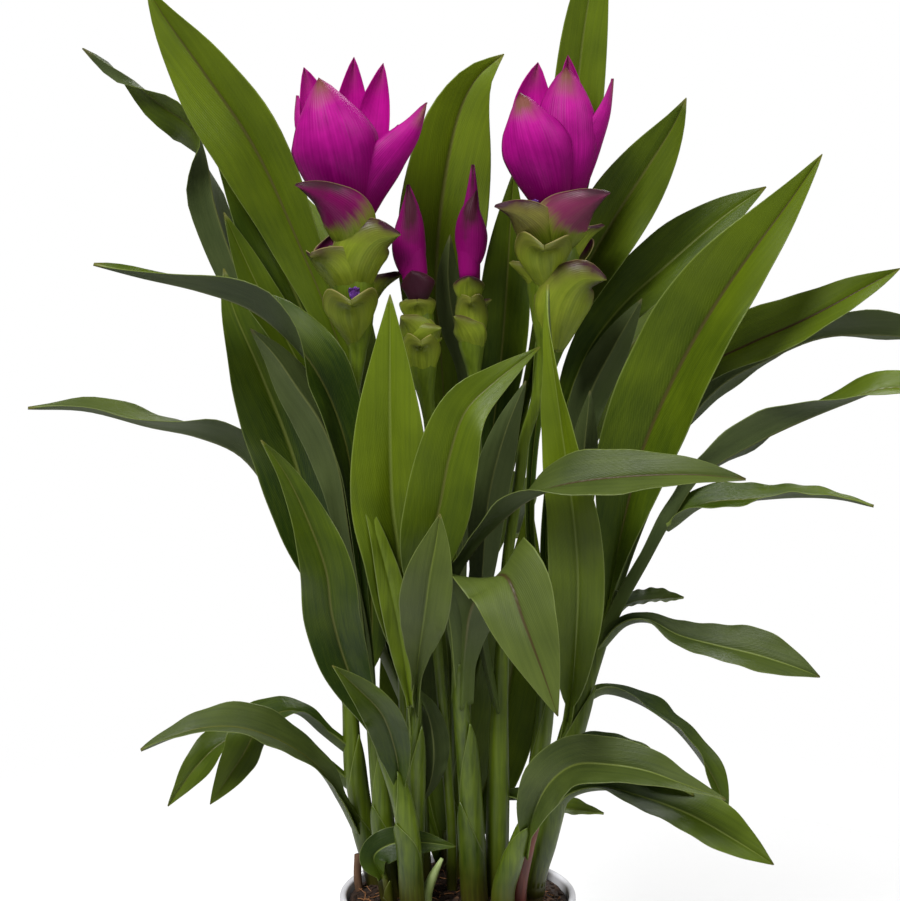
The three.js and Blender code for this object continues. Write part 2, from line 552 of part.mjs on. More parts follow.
// Flower stalks: green bracts sit on each stalk below its crown.
const stalks = {
  scape_left: {
    foot: [-22, 12],
    stem: [[-22, -214, 11, 3.6], [-22, -150, 8, 3.4], [-24, -100, 4, 3.1], [-30, -64, 2, 2.9],
      [-38, -34, 0, 2.8], [-46, 0, -6, 2.8], [-48, 28, -12, 2.8], [-46, 50, -12, 4.4],
      [-47, 63, -12, 8.6], [-49, 79, -12, 11.4], [-50, 93, -12, 12], [-50, 102, -12, 10.5]],
    leaves: [],
    bracts: [],
  },
  scape_right: {
    foot: [25, 0],
    stem: [[24, -218, 2, 6.2], [24, -175, 0, 6], [25, -125, -2, 4.2], [27, -85, -4, 3.2],
      [29, -52, -6, 2.8], [35, -13, -8, 2.8], [37, 4, -8, 2.8], [43, 24, -10, 2.8], [48, 50, -12, 4.4],
      [50, 65, -12, 9], [51, 83, -12, 12.4], [52, 96, -12, 12.8], [53, 105, -12, 10.5]],
    leaves: [
      { rib: [[24, -130, -3, 180], [16, -92, -12, 180], [17, -48, -19, 180], [20, -20, -22, 180],
        [28, 10, -24, 180], [38, 35, -25, 180]],
      width: 19, widest: 0.6, petiole: 0.2, wave: 1, stations: 9 },
      { rib: [[25, -172, 0, 40], [38, -174, 4, 40], [55, -178, 6, 40], [77, -181, 4, 40]],
      width: 13, widest: 0.5, petiole: 0.05, wave: 0.6, stations: 7 },
    ],
    bracts: [],
  },
  scape_bud_left: {
    foot: [1, 8],
    stem: [[1, -218, 8, 2.7], [1, -195, 6, 2.7], [-1, -165, 4, 2.7], [-4, -125, 0, 2.6],
      [-7, -90, -4, 2.6], [-9, -55, -8, 2.6], [-11, -15, -10, 2.6], [-10, 12, -12, 2.8],
      [-12, 28, -12, 4], [-14, 42, -12, 7.5], [-15, 60, -12, 7.6], [-16, 76, -12, 6.6]],
    leaves: [],
    bracts: [],
  },
  scape_bud_right: {
    foot: [13, 17],
    stem: [[12, -214, 17, 2.6], [10, -175, 14, 2.6], [8, -125, 10, 2.6], [10, -85, 6, 2.6],
      [14, -35, 2, 2.6], [13, 5, -2, 2.8], [12, 38, -4, 3.2], [11, 52, -4, 6.4],
      [10, 66, -4, 6.8], [10, 83, -4, 6.2]],
    leaves: [],
    bracts: [],
  },
};

// Green bracts on the stalks; they turn their hollow side to the stalk's axis.
stalks.scape_left.bracts = [
  { rib: [[-46, 49, -14, 180], [-48.5, 63, -24, 180], [-49.5, 72.5, -30, 180], [-49.5, 75.5, -37, 180]],
    width: 37, cup: 80, widest: 0.66 },
  { rib: [[-50, 72, -17, -145], [-58, 86, -24, -140], [-65.5, 96, -28, -135], [-69.5, 99.5, -33, -130]],
    width: 31, cup: 70, widest: 0.58 },
  { rib: [[-46, 76, -18, 162], [-43, 93, -27, 158], [-36.5, 103.5, -30, 150], [-25.5, 109.5, -29, 140]],
    width: 36, cup: 74, widest: 0.55 },
  { rib: [[-43, 64, -8, 105], [-35, 78, -6, 105], [-26, 90, -4, 100]], width: 27 },
  { rib: [[-46.5, 98, -22, -178], [-50, 113, -34, -172], [-62, 125, -40, -158], [-76.5, 134, -39, -145]],
    width: 27, cup: 66, widest: 0.4 },
  { rib: [[-50, 80, -5, 0], [-52, 97, 7, 0], [-54, 111, 14, 0]], width: 38, cup: 70 },
  { rib: [[-44, 84, -6, 50], [-37, 99, 2, 50], [-31, 112, 5, 45]], width: 32, cup: 66 },
];
stalks.scape_right.bracts = [
  { rib: [[49.5, 97, -23, -168], [43, 110, -34, -164], [34, 118, -39, -152], [23, 123.5, -38, -140]],
    width: 23, cup: 66, widest: 0.42 },
  { rib: [[53.5, 98, -23, 174], [56, 111, -34, 168], [66.5, 121, -38, 156], [79, 130, -37, 142]],
    width: 30, cup: 66, widest: 0.38 },
  { rib: [[50, 76, -20, 180], [47.5, 91, -30, 180], [47, 100, -35, 180], [47.5, 103, -42, 180]],
    width: 37, cup: 76, widest: 0.68 },
  { rib: [[61.5, 93, -14, 110], [69, 104.5, -10, 105], [75, 114, -8, 100]], width: 19 },
  { rib: [[53, 49, -15, 174], [55.5, 65, -26, 170], [61, 78.5, -31, 162], [67.5, 85, -33, 152],
      [78, 87, -33, 142]],
    width: 35, cup: 72, widest: 0.55 },
  { rib: [[53, 84, -5, 0], [54, 102, 9, 0], [56, 115, 16, 0]], width: 42, cup: 70 },
  { rib: [[49.5, 66, -12, -108], [40.5, 81, -14, -106], [32, 95.5, -13, -100]], width: 27, cup: 62 },
];
stalks.scape_bud_left.bracts = [
  { rib: [[-12, 29, -15, 180], [-14, 44, -20, 180], [-14.5, 52, -22, 180], [-14.5, 55, -26, 180]],
    width: 30, cup: 92, widest: 0.68 },
  { rib: [[-14.5, 49, -15, -155], [-19.5, 60, -20, -155], [-24, 68, -21, -150]], width: 23, cup: 76 },
  { rib: [[-14.5, 49, -16, 150], [-10, 56, -20, 150], [-5.5, 62.5, -20, 145]], width: 23, cup: 76 },
  { rib: [[-15.5, 59, -16, 180], [-16, 70, -20, 180], [-16.5, 75.5, -22, 180]],
    width: 26, cup: 88, widest: 0.66 },
  { rib: [[-16, 69, -17, -170], [-17, 80, -22.5, -170], [-19, 90, -22, -170]],
    width: 25, cup: 90, widest: 0.66 },
];
stalks.scape_bud_right.bracts = [
  { rib: [[12, 42, -7, 180], [11, 60, -11, 180], [10.5, 73, -13, 180], [10.5, 76.5, -17, 180]],
    width: 25, cup: 92, widest: 0.68 },
  { rib: [[11.5, 49, -8, -150], [6.5, 59.5, -12, -150], [3.5, 68, -12, -140]], width: 20, cup: 74 },
  { rib: [[12, 59, -6, 125], [15, 68, -5, 125], [18.5, 76.5, -4, 118]], width: 17 },
  { rib: [[10, 70, -9, 180], [9.5, 80, -13, 180], [9.5, 87.5, -14, 180]],
    width: 22, cup: 88, widest: 0.62 },
];

// Pink crowns: each bract's rib from the core to its tip.
const crowns = {
  bloom_left: {
    core: [[-50, 104.5, -12, 8.6], [-51, 118, -12, 10], [-51, 138, -12, 3]],
    bracts: [
      { rib: [[-50, 112, -18, 180], [-53, 130, -28, 180], [-57.5, 152.5, -37, 180], [-62, 171, -34, 180],
          [-65.5, 186, -25, 180]],
        width: 53, cup: 72, widest: 0.53, fullness: 0.72 },
      { rib: [[-47, 111, -17, 150], [-39.5, 129, -21, 150], [-28.5, 145, -24, 150], [-18, 160, -22, 150],
          [-12, 174, -18, 150]],
        width: 26, cup: 62, widest: 0.38 },
      { rib: [[-52.5, 118, -8, -20], [-60, 145, 3, -20], [-67.5, 170, 5, -15], [-73, 191.5, 2, -10]],
        width: 26 },
      { rib: [[-51, 118, -6, 0], [-49.5, 148, 8, 0], [-49, 176, 9, 0], [-48, 196.5, 4, 0]], width: 22 },
      { rib: [[-47, 118, -8, 25], [-39.5, 148, 0, 25], [-36, 173, 1, 20], [-33.5, 193.5, -4, 10]],
        width: 22 },
      { rib: [[-56, 115, -11, -90], [-69, 140, -10, -90], [-77, 161, -10, -85], [-75.5, 177.5, -8, -75]],
        width: 25 },
      { rib: [[-51, 112, -4, -5], [-54, 140, 14, -5], [-57, 162, 21, -5], [-58, 178, 20, -5]], width: 32 },
      { rib: [[-46, 114, -7, 55], [-35, 136, 4, 55], [-28, 150, 8, 55], [-26, 163, 10, 50]], width: 25 },
    ],
  },
  bloom_right: {
    core: [[53, 107, -12, 9.6], [53, 122, -12, 10], [53, 142, -12, 3]],
    bracts: [
      { rib: [[52.5, 113, -19, 180], [49, 131, -29, 180], [43.5, 150, -36, 180], [38.5, 166, -34, 180],
          [35, 178.5, -25, 180]],
        width: 41, cup: 70, widest: 0.57, fullness: 0.7 },
      { rib: [[55.5, 115, -16, 172], [59, 139, -23, 176], [58, 165, -22, 180], [58, 191.5, -12, 180]],
        width: 36, cup: 66, widest: 0.62, fullness: 0.7 },
      { rib: [[60.5, 117, -13, 122], [68, 136, -15, 120], [74.5, 152.5, -13, 118], [79.5, 169, -10, 112],
          [80.5, 186, -8, 108]],
        width: 25, widest: 0.36 },
      { rib: [[51, 120, -7, -15], [43, 150, 4, -15], [41, 175, 7, -10], [44, 194, 4, -5]], width: 30 },
      { rib: [[54, 120, -6, 0], [58, 152, 8, 0], [60, 177.5, 9, 0], [59, 197.5, 4, 0]], width: 21 },
      { rib: [[48, 116, -11, -85], [38, 139, -9, -85], [32.5, 158, -7, -80], [31.5, 167, -5, -70]],
        width: 24 },
      { rib: [[52, 114, -4, 0], [52, 142, 15, 0], [50, 164, 20, 0], [49, 180, 19, 0]], width: 32 },
      { rib: [[58, 116, -6, 55], [68, 139, 5, 55], [72, 157, 11, 50], [73, 168, 13, 45]], width: 27 },
    ],
  },
  bud_left: {
    core: [[-17, 79, -12, 5.4], [-18, 91, -12, 6.6], [-19, 105, -12, 6], [-19, 119, -12, 4.4],
      [-21, 133, -11, 0.8]],
    bracts: [
      { rib: [[-18, 86, -16, 168], [-19, 104, -19, 168], [-19.5, 119, -17, 174], [-21, 132, -12, 180]],
        width: 21, cup: 88, widest: 0.42 },
    ],
  },
  bud_right: {
    core: [[10, 84.5, -5, 5], [9.5, 99, -5, 5.8], [10, 112, -5, 5.6], [11, 127, -5, 3.2],
      [11.5, 143, -4, 0.8]],
    bracts: [
      { rib: [[9.5, 91, -9, -168], [9, 106, -12, -168], [10, 119, -11, -174], [13, 130, -6, 180]],
        width: 21, cup: 90, widest: 0.45 },
    ],
  },
};

// Small things at the soil.
const spikes = {
  sprout: { foot: [-9, -17], colour: colours.sprout,
    stem: [[-12, -224, -16, 3], [-9, -214, -17, 2.6], [-4, -204, -18, 0.9]] },
  dry_stub: { foot: [-45, 14], colour: colours.stub,
    stem: [[-46, -216, 13, 2.1], [-46, -202, 12, 1.9]] },
  sheath_red: { foot: [33, -19], colour: colours.sheath,
    stem: [[34, -222, -20, 3.4], [38, -202, -22, 3], [43, -187, -25, 2], [46, -177, -28, 0.9]] },
};

function potShape() {
  const innerRim = rimRadius - lipThickness;
  const profile = [
    [0, 0], [footRadius - 2, 0], [footRadius, 2], [rimRadius - 2.5, potHeight - 12],
    [rimRadius, potHeight - 10], [rimRadius, potHeight - 1.5], [rimRadius - 1.5, potHeight],
    [innerRim + 1.5, potHeight], [innerRim, potHeight - 1.5], [innerRim - 0.6, potHeight - 12],
    [footRadius - wallThickness, potFloor + 2], [footRadius - wallThickness - 3, potFloor], [0, potFloor],
  ];
  return new THREE.LatheGeometry(profile.map(([x, y]) => new THREE.Vector2(x, y)), potSides)
    .rotateX(Math.PI / 2);
}

function soilShape(holes) {
  const innerRim = rimRadius - lipThickness - 0.6;
  const top = innerRim - soilGap;
  const low = footRadius - wallThickness - soilGap;
  const shoulder = potHeight - 12;
  const profile = [
    [0, potFloor + soilGap], [low - 3, potFloor + soilGap], [low, potFloor + 2 + soilGap],
    [top, shoulder], [top, soilLevel - 1.5], [top - 1.2, soilLevel],
    [top * 0.6, soilLevel + soilCrown * 0.7],
    [0, soilLevel + soilCrown],
  ];
  const lathe = new THREE.LatheGeometry(profile.map(([x, y]) => new THREE.Vector2(x, y)), potSides)
    .rotateX(Math.PI / 2);
  const cut = solid(lathe).subtract(wasm.Manifold.union(holes.map(solid)));
  return shapeOf(cut);
}

const plant = new THREE.Group();

function add(name, shape, colour, roughness) {
  const material = new THREE.MeshStandardMaterial({ color: colour, roughness, metalness: 0 });
  const mesh = new THREE.Mesh(shape, material);
  mesh.name = name;
  plant.add(mesh);
}

add('pot', potShape(), colours.pot, 0.3);

const rooted = [...Object.values(shoots), ...Object.values(stalks), ...Object.values(spikes)];
add('soil', soilShape(rooted.map(holeShape)), colours.soil, 0.95);

for (const [name, shoot] of Object.entries(shoots)) {
  const leaves = shoot.leaves.map(leafShape);
  const behind = name.startsWith('shoot_back');
  add(name, fuse([stemShape(shoot), ...leaves]), behind ? colours.darkLeaf : colours.leaf, 0.5);
}

for (const [name, stalk] of Object.entries(stalks)) {
  const parts = [stemShape(stalk), ...stalk.leaves.map(leafShape), ...stalk.bracts.map(cupShape)];
  add(name, fuse(parts), colours.scape, 0.5);
}

// The bracts at the back of a crown show only their upper ends, so they take fewer stations.
function crownBractShape(entry) {
  const atBack = Math.abs(entry.rib[0][3]) < 70;
  return bractShape(atBack ? { stations: bractStations - 1, ...entry } : entry);
}

function coreShape(path) {
  return loft(tubeRings(pathPoints(path), path.map((entry) => entry[3]), 4));
}

for (const [name, crown] of Object.entries(crowns)) {
  add(name, fuse([coreShape(crown.core), ...crown.bracts.map(crownBractShape)]),
    name.startsWith('bud') ? colours.bud : colours.bloom, 0.45);
}

for (const [name, spike] of Object.entries(spikes)) {
  add(name, stemShape(spike), spike.colour, 0.6);
}

export default plant;
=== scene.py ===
import math
import random

import bpy
import numpy as np
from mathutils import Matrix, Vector, noise


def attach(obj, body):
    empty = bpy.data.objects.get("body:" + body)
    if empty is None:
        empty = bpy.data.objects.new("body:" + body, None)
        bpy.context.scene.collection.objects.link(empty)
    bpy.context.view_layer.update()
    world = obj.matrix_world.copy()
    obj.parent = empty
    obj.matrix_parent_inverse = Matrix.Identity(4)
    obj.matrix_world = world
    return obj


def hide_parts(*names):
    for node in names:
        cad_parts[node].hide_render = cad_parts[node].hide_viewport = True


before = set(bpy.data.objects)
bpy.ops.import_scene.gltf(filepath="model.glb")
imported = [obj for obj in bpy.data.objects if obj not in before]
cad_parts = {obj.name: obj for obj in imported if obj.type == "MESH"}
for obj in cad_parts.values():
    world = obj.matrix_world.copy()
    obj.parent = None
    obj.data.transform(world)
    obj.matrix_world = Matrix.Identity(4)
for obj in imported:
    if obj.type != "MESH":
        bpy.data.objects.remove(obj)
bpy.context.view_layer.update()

# Camera and the front view that the dictionaries' places are read in, millimetres and degrees.
# Each place is (across, up, depth): across and up as seen, depth behind the middle of the pot.
camera = {
    "aim": (-4, 0, 344),
    "distance": 1160,
    "drop": 10,
    "lens": 92.7,
    "sensor": 36,
}
drop = math.radians(camera["drop"])
aim = np.array(camera["aim"], float)
eye = aim + camera["distance"] * np.array([0, -math.cos(drop), math.sin(drop)])


def place(across, up, depth):
    seen = aim + np.array([across, up * math.sin(drop), up * math.cos(drop)])
    return eye + (seen - eye) * (depth - eye[1]) / (seen[1] - eye[1])


def smooth(value, low, high):
    t = np.clip((value - low) / (high - low), 0, 1)
    return t * t * (3 - 2 * t)


def unit(vectors):
    return vectors / np.linalg.norm(vectors, axis=-1, keepdims=True)


class Path:
    # a smooth line through its points, walked by its own length
    def __init__(self, points):
        p = np.array(points, float)
        self.spans = len(p) - 1
        p = np.vstack([2 * p[0] - p[1], p, 2 * p[-1] - p[-2]])
        gap = np.maximum(np.linalg.norm(np.diff(p, axis=0), axis=1), 1e-6)[:, None] ** 0.5
        before, here, after = gap[:-2], gap[1:-1], gap[2:]
        a, b, c, d = p[:-3], p[1:-2], p[2:-1], p[3:]
        leave = ((b - a) / before - (c - a) / (before + here) + (c - b) / here) * here
        reach = ((c - b) / here - (d - b) / (here + after) + (d - c) / after) * here
        self.terms = np.stack([b, leave, 3 * (c - b) - 2 * leave - reach, 2 * (b - c) + leave + reach], 1)
        self.ticks = np.linspace(0, 1, 201)
        walked = np.linalg.norm(np.diff(self.at(self.ticks), axis=0), axis=1)
        self.walked = np.concatenate([[0], np.cumsum(walked)])

    def at(self, t):
        t = np.clip(np.atleast_1d(t), 0, 1) * self.spans
        span = np.minimum(t.astype(int), self.spans - 1)
        w = (t - span)[:, None]
        c = self.terms[span]
        return c[:, 0] + w * (c[:, 1] + w * (c[:, 2] + w * c[:, 3]))

    def heading(self, t):
        return unit(self.at(np.asarray(t) + 1e-4) - self.at(np.asarray(t) - 1e-4))

    def even(self, steps):
        return np.interp(np.linspace(0, self.walked[-1], steps + 1), self.walked, self.ticks)


def ribFrames(rib, steps):
    # places along a blade's rib with the directions across it and up from its upper face
    path = Path([place(*entry[:3]) for entry in rib])
    own = np.arange(len(rib)) / path.spans
    along = path.heading(own)
    flat = unit(np.cross(along, unit(eye - path.at(own))))
    facing = np.cross(flat, along)
    turn = np.radians([entry[3] for entry in rib])[:, None]
    crosses = flat * np.cos(turn) + facing * np.sin(turn)
    t = path.even(steps)
    span = np.minimum((t * path.spans).astype(int), path.spans - 1)
    w = (t * path.spans - span)[:, None]
    along = path.heading(t)
    cross = crosses[span] * (1 - w) + crosses[span + 1] * w
    cross = unit(cross - along * np.sum(cross * along, axis=1, keepdims=True))
    return path.at(t), cross, np.cross(cross, along), path.walked[-1]


class Piece:
    # gathers closed lofts into one mesh; each corner keeps its place on its blade for the colouring
    def __init__(self, name, node, slot, finishes):
        self.name, self.node, self.slotName, self.finishes = name, node, slot, finishes
        self.points, self.faces, self.looks, self.marks = [], [], [], []
        self.count = 0

    def loft(self, rings, marks, looks):
        # rings: rows x corners x 3; marks: what each point carries; looks: a finish for each side
        rows, corners = rings.shape[:2]
        ring = np.arange(rows)[:, None] * corners
        side = np.arange(corners)[None, :]
        ahead = (side + 1) % corners
        a, b = (ring[:-1] + side).ravel(), (ring[:-1] + ahead).ravel()
        c, d = (ring[1:] + ahead).ravel(), (ring[1:] + side).ravel()
        quads = np.stack([a, b, c, d], 1)
        half = corners // 2
        row = np.arange(half - 1)
        caps = []
        for start, turned in ((0, False), ((rows - 1) * corners, True)):
            cap = np.stack([start + row, start + corners - 1 - row, start + corners - 2 - row,
                            start + row + 1], 1)
            caps.append(cap[:, ::-1] if turned else cap)
        faces = np.vstack([quads, *caps])
        flat = rings.reshape(-1, 3)
        p = flat[faces]
        bulk = np.einsum("ij,ij->i", np.cross(p[:, 1] - p[:, 0], p[:, 3] - p[:, 0]), p.mean(axis=1)).sum()
        if bulk < 0:
            faces = faces[:, ::-1]
        self.points.append(flat)
        self.faces.append(faces + self.count)
        self.looks.append(np.concatenate([np.tile(looks, rows - 1), np.full(2 * (half - 1), looks[0])]))
        self.marks.append(marks.reshape(-1, marks.shape[-1]))
        self.count += len(flat)

    def make(self):
        mesh = bpy.data.meshes.new(self.name)
        points = np.vstack(self.points) * 0.001
        faces = np.vstack(self.faces)
        marks = np.vstack(self.marks)
        mesh.from_pydata(points.tolist(), [], faces.tolist())
        for finish in self.finishes:
            mesh.materials.append(finish)
        mesh.polygons.foreach_set("material_index", np.concatenate(self.looks).astype(np.int32))
        mesh.polygons.foreach_set("use_smooth", np.ones(len(faces), bool))
        corners = np.empty(len(mesh.loops), np.int32)
        mesh.loops.foreach_get("vertex_index", corners)
        blade = mesh.uv_layers.new(name="blade")
        blade.data.foreach_set("uv", marks[corners, 0:2].astype(np.float32).ravel())
        veins = mesh.uv_layers.new(name="veins")
        veins.data.foreach_set("uv", marks[corners, 2:4].astype(np.float32).ravel())
        tint = mesh.uv_layers.new(name="tint")
        tint.data.foreach_set("uv", marks[corners, 4:6].astype(np.float32).ravel())
        mesh.validate()
        mesh.update()
        made = bpy.data.objects.new(self.name, mesh)
        bpy.context.scene.collection.objects.link(made)
        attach(made, "root")
        if self.node:
            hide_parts(self.node)
        print("made", self.name, len(faces) * 2, "triangles")
        return made


class Wire:
    # a socket of a material, so that shader maths reads as plain expressions
    def __init__(self, tree, socket=None):
        self.tree, self.socket = tree, socket

    def node(self, kind, settings=None, inputs=None, output=0):
        made = self.tree.nodes.new(kind)
        for name, value in (settings or {}).items():
            if name == "stops":
                ramp = made.color_ramp.elements
                for index, (spot, shade) in enumerate(value):
                    stop = ramp[index] if index < 2 else ramp.new(spot)
                    stop.position, stop.color = spot, (*shade, 1)
            else:
                setattr(made, name, value)
        for name, value in (inputs or {}).items():
            if isinstance(value, Wire):
                self.tree.links.new(value.socket, made.inputs[name])
            else:
                made.inputs[name].default_value = value
        return Wire(self.tree, made.outputs[output]) if made.outputs else None

    def maths(self, operation, *values):
        return self.node("ShaderNodeMath", {"operation": operation}, dict(enumerate(values)))

    def __add__(self, other): return self.maths("ADD", self, other)
    def __radd__(self, other): return self.maths("ADD", other, self)
    def __sub__(self, other): return self.maths("SUBTRACT", self, other)
    def __rsub__(self, other): return self.maths("SUBTRACT", other, self)
    def __mul__(self, other): return self.maths("MULTIPLY", self, other)
    def __rmul__(self, other): return self.maths("MULTIPLY", other, self)
    def __truediv__(self, other): return self.maths("DIVIDE", self, other)
    def __rtruediv__(self, other): return self.maths("DIVIDE", other, self)
    def __pow__(self, other): return self.maths("POWER", self, other)
    def __neg__(self): return self.maths("MULTIPLY", self, -1.0)
    def __abs__(self): return self.maths("ABSOLUTE", self)

    def sine(self):
        return self.maths("SINE", self)

    def most(self, other):
        return self.maths("MAXIMUM", self, other)

    def rise(self, low, high):
        # 0 below low, 1 above high, smooth between
        return self.node("ShaderNodeMapRange", {"interpolation_type": "SMOOTHSTEP"},
                         {0: self, 1: low, 2: high, 3: 0.0, 4: 1.0})

    def between(self, first, second):
        # this value as the share of the second colour over the first
        pair = [c if isinstance(c, Wire) else (*c, 1) for c in (first, second)]
        return self.node("ShaderNodeMix", {"data_type": "RGBA"}, {0: self, 6: pair[0], 7: pair[1]}, 2)

    def part(self, index):
        return self.node("ShaderNodeSeparateXYZ", {}, {0: self}, index)

    def stretched(self, x, y, z):
        return self.node("ShaderNodeVectorMath", {"operation": "MULTIPLY"}, {0: self, 1: (x, y, z)})

    def grain(self, scale, detail=3.0, roughness=0.55):
        return self.node("ShaderNodeTexNoise", {}, {"Vector": self, "Scale": scale, "Detail": detail,
                                                    "Roughness": roughness})


def startFinish(name):
    finish = bpy.data.materials.new(name)
    finish.use_nodes = True
    finish.node_tree.nodes.clear()
    return finish, Wire(finish.node_tree)


def endFinish(wire, colour, roughness, height=None, relief=0.0003, depth=0.5, **constants):
    inputs = {"Base Color": colour, "Roughness": roughness}
    if height is not None:
        inputs["Normal"] = wire.node("ShaderNodeBump", {}, {"Strength": depth, "Distance": relief,
                                                            "Height": height})
    for name, value in constants.items():
        inputs[name.replace("_", " ")] = value
    wire.node("ShaderNodeOutputMaterial", {}, {0: wire.node("ShaderNodeBsdfPrincipled", {}, inputs)})


# Leaves
leafTones = {
    "shade": (0.012, 0.030, 0.001),
    "sun": (0.130, 0.185, 0.003),
    "vein": (0.170, 0.220, 0.016),
    "rib": (0.150, 0.200, 0.030),
    "rust": (0.040, 0.010, 0.006),
    "margin": (0.240, 0.290, 0.080),
    "tip": (0.130, 0.080, 0.020),
    "stalk": (0.080, 0.125, 0.006),
    "fade": 0.6,        # painted shade: how far the green darkens to the shade tone towards the foot
    "veinGap": 4.6,     # along the blade, mm
    "roughness": 0.38,
}
dullTones = {
    **leafTones,
    "shade": (0.014, 0.027, 0.004),
    "sun": (0.118, 0.158, 0.024),
    "vein": (0.150, 0.185, 0.045),
    "fade": 0.35,
    "roughness": 0.43,
}
undersideTones = {
    "shade": (0.022, 0.038, 0.007),
    "sun": (0.098, 0.128, 0.036),
    "vein": (0.145, 0.175, 0.062),
    "rib": (0.150, 0.200, 0.055),
    "rust": (0.110, 0.100, 0.035),
    "margin": (0.230, 0.270, 0.110),
    "tip": (0.120, 0.080, 0.030),
    "stalk": (0.080, 0.120, 0.012),
    "fade": 0.3,
    "veinGap": 4.6,
    "roughness": 0.52,
}


def leafFinish(name, tones):
    finish, wire = startFinish(name)
    blade = wire.node("ShaderNodeUVMap", {"uv_map": "blade"})
    veins = wire.node("ShaderNodeUVMap", {"uv_map": "veins"})
    tint = wire.node("ShaderNodeUVMap", {"uv_map": "tint"})
    spot = wire.node("ShaderNodeTexCoord", {}, {}, "Object")
    side = abs(blade.part(0) * 2 - 1)
    share = blade.part(1)
    patches = spot.grain(28.0, 2.0)
    streaks = veins.stretched(0.55, 0.028, 1.0).grain(1.0, 4.0, 0.6)
    fine = veins.stretched(2.6, 0.10, 1.0).grain(1.0, 3.0, 0.6)
    lines = ((veins.part(1) * (6.2832 / tones["veinGap"]) + streaks * 2.0).sine() * 0.5 + 0.5) ** 2.0
    # painted light: tone picks between the shade and sun greens for each leaf, and fade paints shade towards
    # the foot
    green = tint.part(0) + (share - 0.62) * tones["fade"] + (patches - 0.5) * 0.7 + (streaks - 0.5) * 0.5
    green = green.between(tones["shade"], tones["sun"])
    green = (lines * 0.10 + (fine - 0.5) * 0.30).between(green, tones["vein"])
    stalk = (1 - share.rise(0.02, 0.28)) * 0.65
    green = stalk.between(green, tones["stalk"])
    ribTone = tint.part(1).between(tones["rib"], tones["rust"])
    rib = (1 - side.rise(0.015, 0.07)) * 0.85 * share.rise(0.12, 0.3)
    green = rib.between(green, ribTone)
    green = (side.rise(0.965, 0.995) * 0.4).between(green, tones["margin"])
    green = (share.rise(0.978, 0.998) * 0.4).between(green, tones["tip"])
    gloss = tones["roughness"] + (fine - 0.5) * 0.16 + lines * 0.05
    endFinish(wire, green, gloss, lines * 0.25 + fine * 0.6, 0.0003, 0.5, IOR=1.33)
    return finish


# Stems and stalks
stemTones = {
    "pale": (0.125, 0.180, 0.008),
    "deep": (0.022, 0.042, 0.002),
    "red": (0.045, 0.016, 0.006),
    "edge": (0.180, 0.220, 0.070),
    "redFrom": 0.100,   # height where the red starts to fade, m
    "redTo": 0.150,
}


def stemFinish(name, tones, edged=0.0):
    finish, wire = startFinish(name)
    blade = wire.node("ShaderNodeUVMap", {"uv_map": "blade"})
    tint = wire.node("ShaderNodeUVMap", {"uv_map": "tint"})
    spot = wire.node("ShaderNodeTexCoord", {}, {}, "Object")
    streaks = spot.stretched(1.0, 1.0, 0.045).grain(520.0, 3.0, 0.65)
    patches = spot.grain(45.0, 2.0)
    green = streaks * 1.2 + (patches - 0.5) * 0.9 - 0.45 + tint.part(0) * 0.7
    green = green.between(tones["deep"], tones["pale"])
    margin = abs(blade.part(0) * 2 - 1).rise(0.90, 0.985) * edged
    green = margin.between(green, tones["edge"])
    low = 1 - spot.part(2).rise(tones["redFrom"], tones["redTo"])
    red = (low * 1.2 - 0.2 + (streaks - 0.5) * 1.1) * tint.part(1)
    green = red.between(green, tones["red"])
    endFinish(wire, green, 0.40 + (streaks - 0.5) * 0.2, streaks, 0.0004, 0.5, IOR=1.42)
    return finish


# Green bracts below the crowns
cupTones = {
    "flesh": (0.285, 0.345, 0.026),
    "deep": (0.090, 0.130, 0.007),
    "blotch": (0.034, 0.006, 0.014),
    "crimson": (0.165, 0.000, 0.075),
    "rim": (0.330, 0.270, 0.110),
    "ribs": 26,
}


def cupFinish(name, tones):
    finish, wire = startFinish(name)
    blade = wire.node("ShaderNodeUVMap", {"uv_map": "blade"})
    tint = wire.node("ShaderNodeUVMap", {"uv_map": "tint"})
    spot = wire.node("ShaderNodeTexCoord", {}, {}, "Object")
    side = abs(blade.part(0) * 2 - 1)
    share = blade.part(1)
    patches = spot.grain(120.0, 3.0)
    streaks = blade.stretched(14.0, 1.2, 1.0).grain(1.0, 3.0, 0.6)
    ribs = (blade.part(0) * (6.2832 * tones["ribs"]) + patches * 1.5).sine() * 0.5 + 0.5
    green = (streaks * 1.5 - 0.25 + (patches - 0.5) * 0.5).between(tones["deep"], tones["flesh"])
    green = (ribs * 0.08).between(green, tones["flesh"])
    flushed = (share + (streaks - 0.5) * 0.35).rise(0.26, 0.50) * tint.part(0)
    green = flushed.between(green, tones["crimson"])
    edge = (side * 0.35 + share * 0.85).rise(0.55, 1.10)
    blotch = (edge * 1.3 + (patches - 0.5) * 1.1 + (streaks - 0.5) * 0.6 - 0.08) * tint.part(1)
    green = (blotch * 0.9 + (tint.part(1) - 1.5).most(0.0)).between(green, tones["blotch"])
    green = (side.rise(0.955, 0.99) * 0.6).between(green, tones["rim"])
    endFinish(wire, green, 0.40 + (patches - 0.5) * 0.2, ribs * 0.3 + streaks * 0.8, 0.0003, 0.5, IOR=1.30)
    return finish


# Crown bracts
crownTones = {
    "magenta": (0.210, 0.000, 0.118),
    "pink": (0.520, 0.006, 0.290),
    "crimson": (0.120, 0.000, 0.045),
    "tip": (0.090, 0.012, 0.018),
    "leafy": (0.170, 0.060, 0.045),
    "wornFrom": 0.72,
    "ribs": 30,
}
budTones = {
    "magenta": (0.160, 0.001, 0.085),
    "pink": (0.290, 0.004, 0.160),
    "crimson": (0.260, 0.002, 0.140),
    "tip": (0.030, 0.003, 0.010),
    "leafy": (0.046, 0.005, 0.016),
    "wornFrom": 0.16,
    "ribs": 20,
}


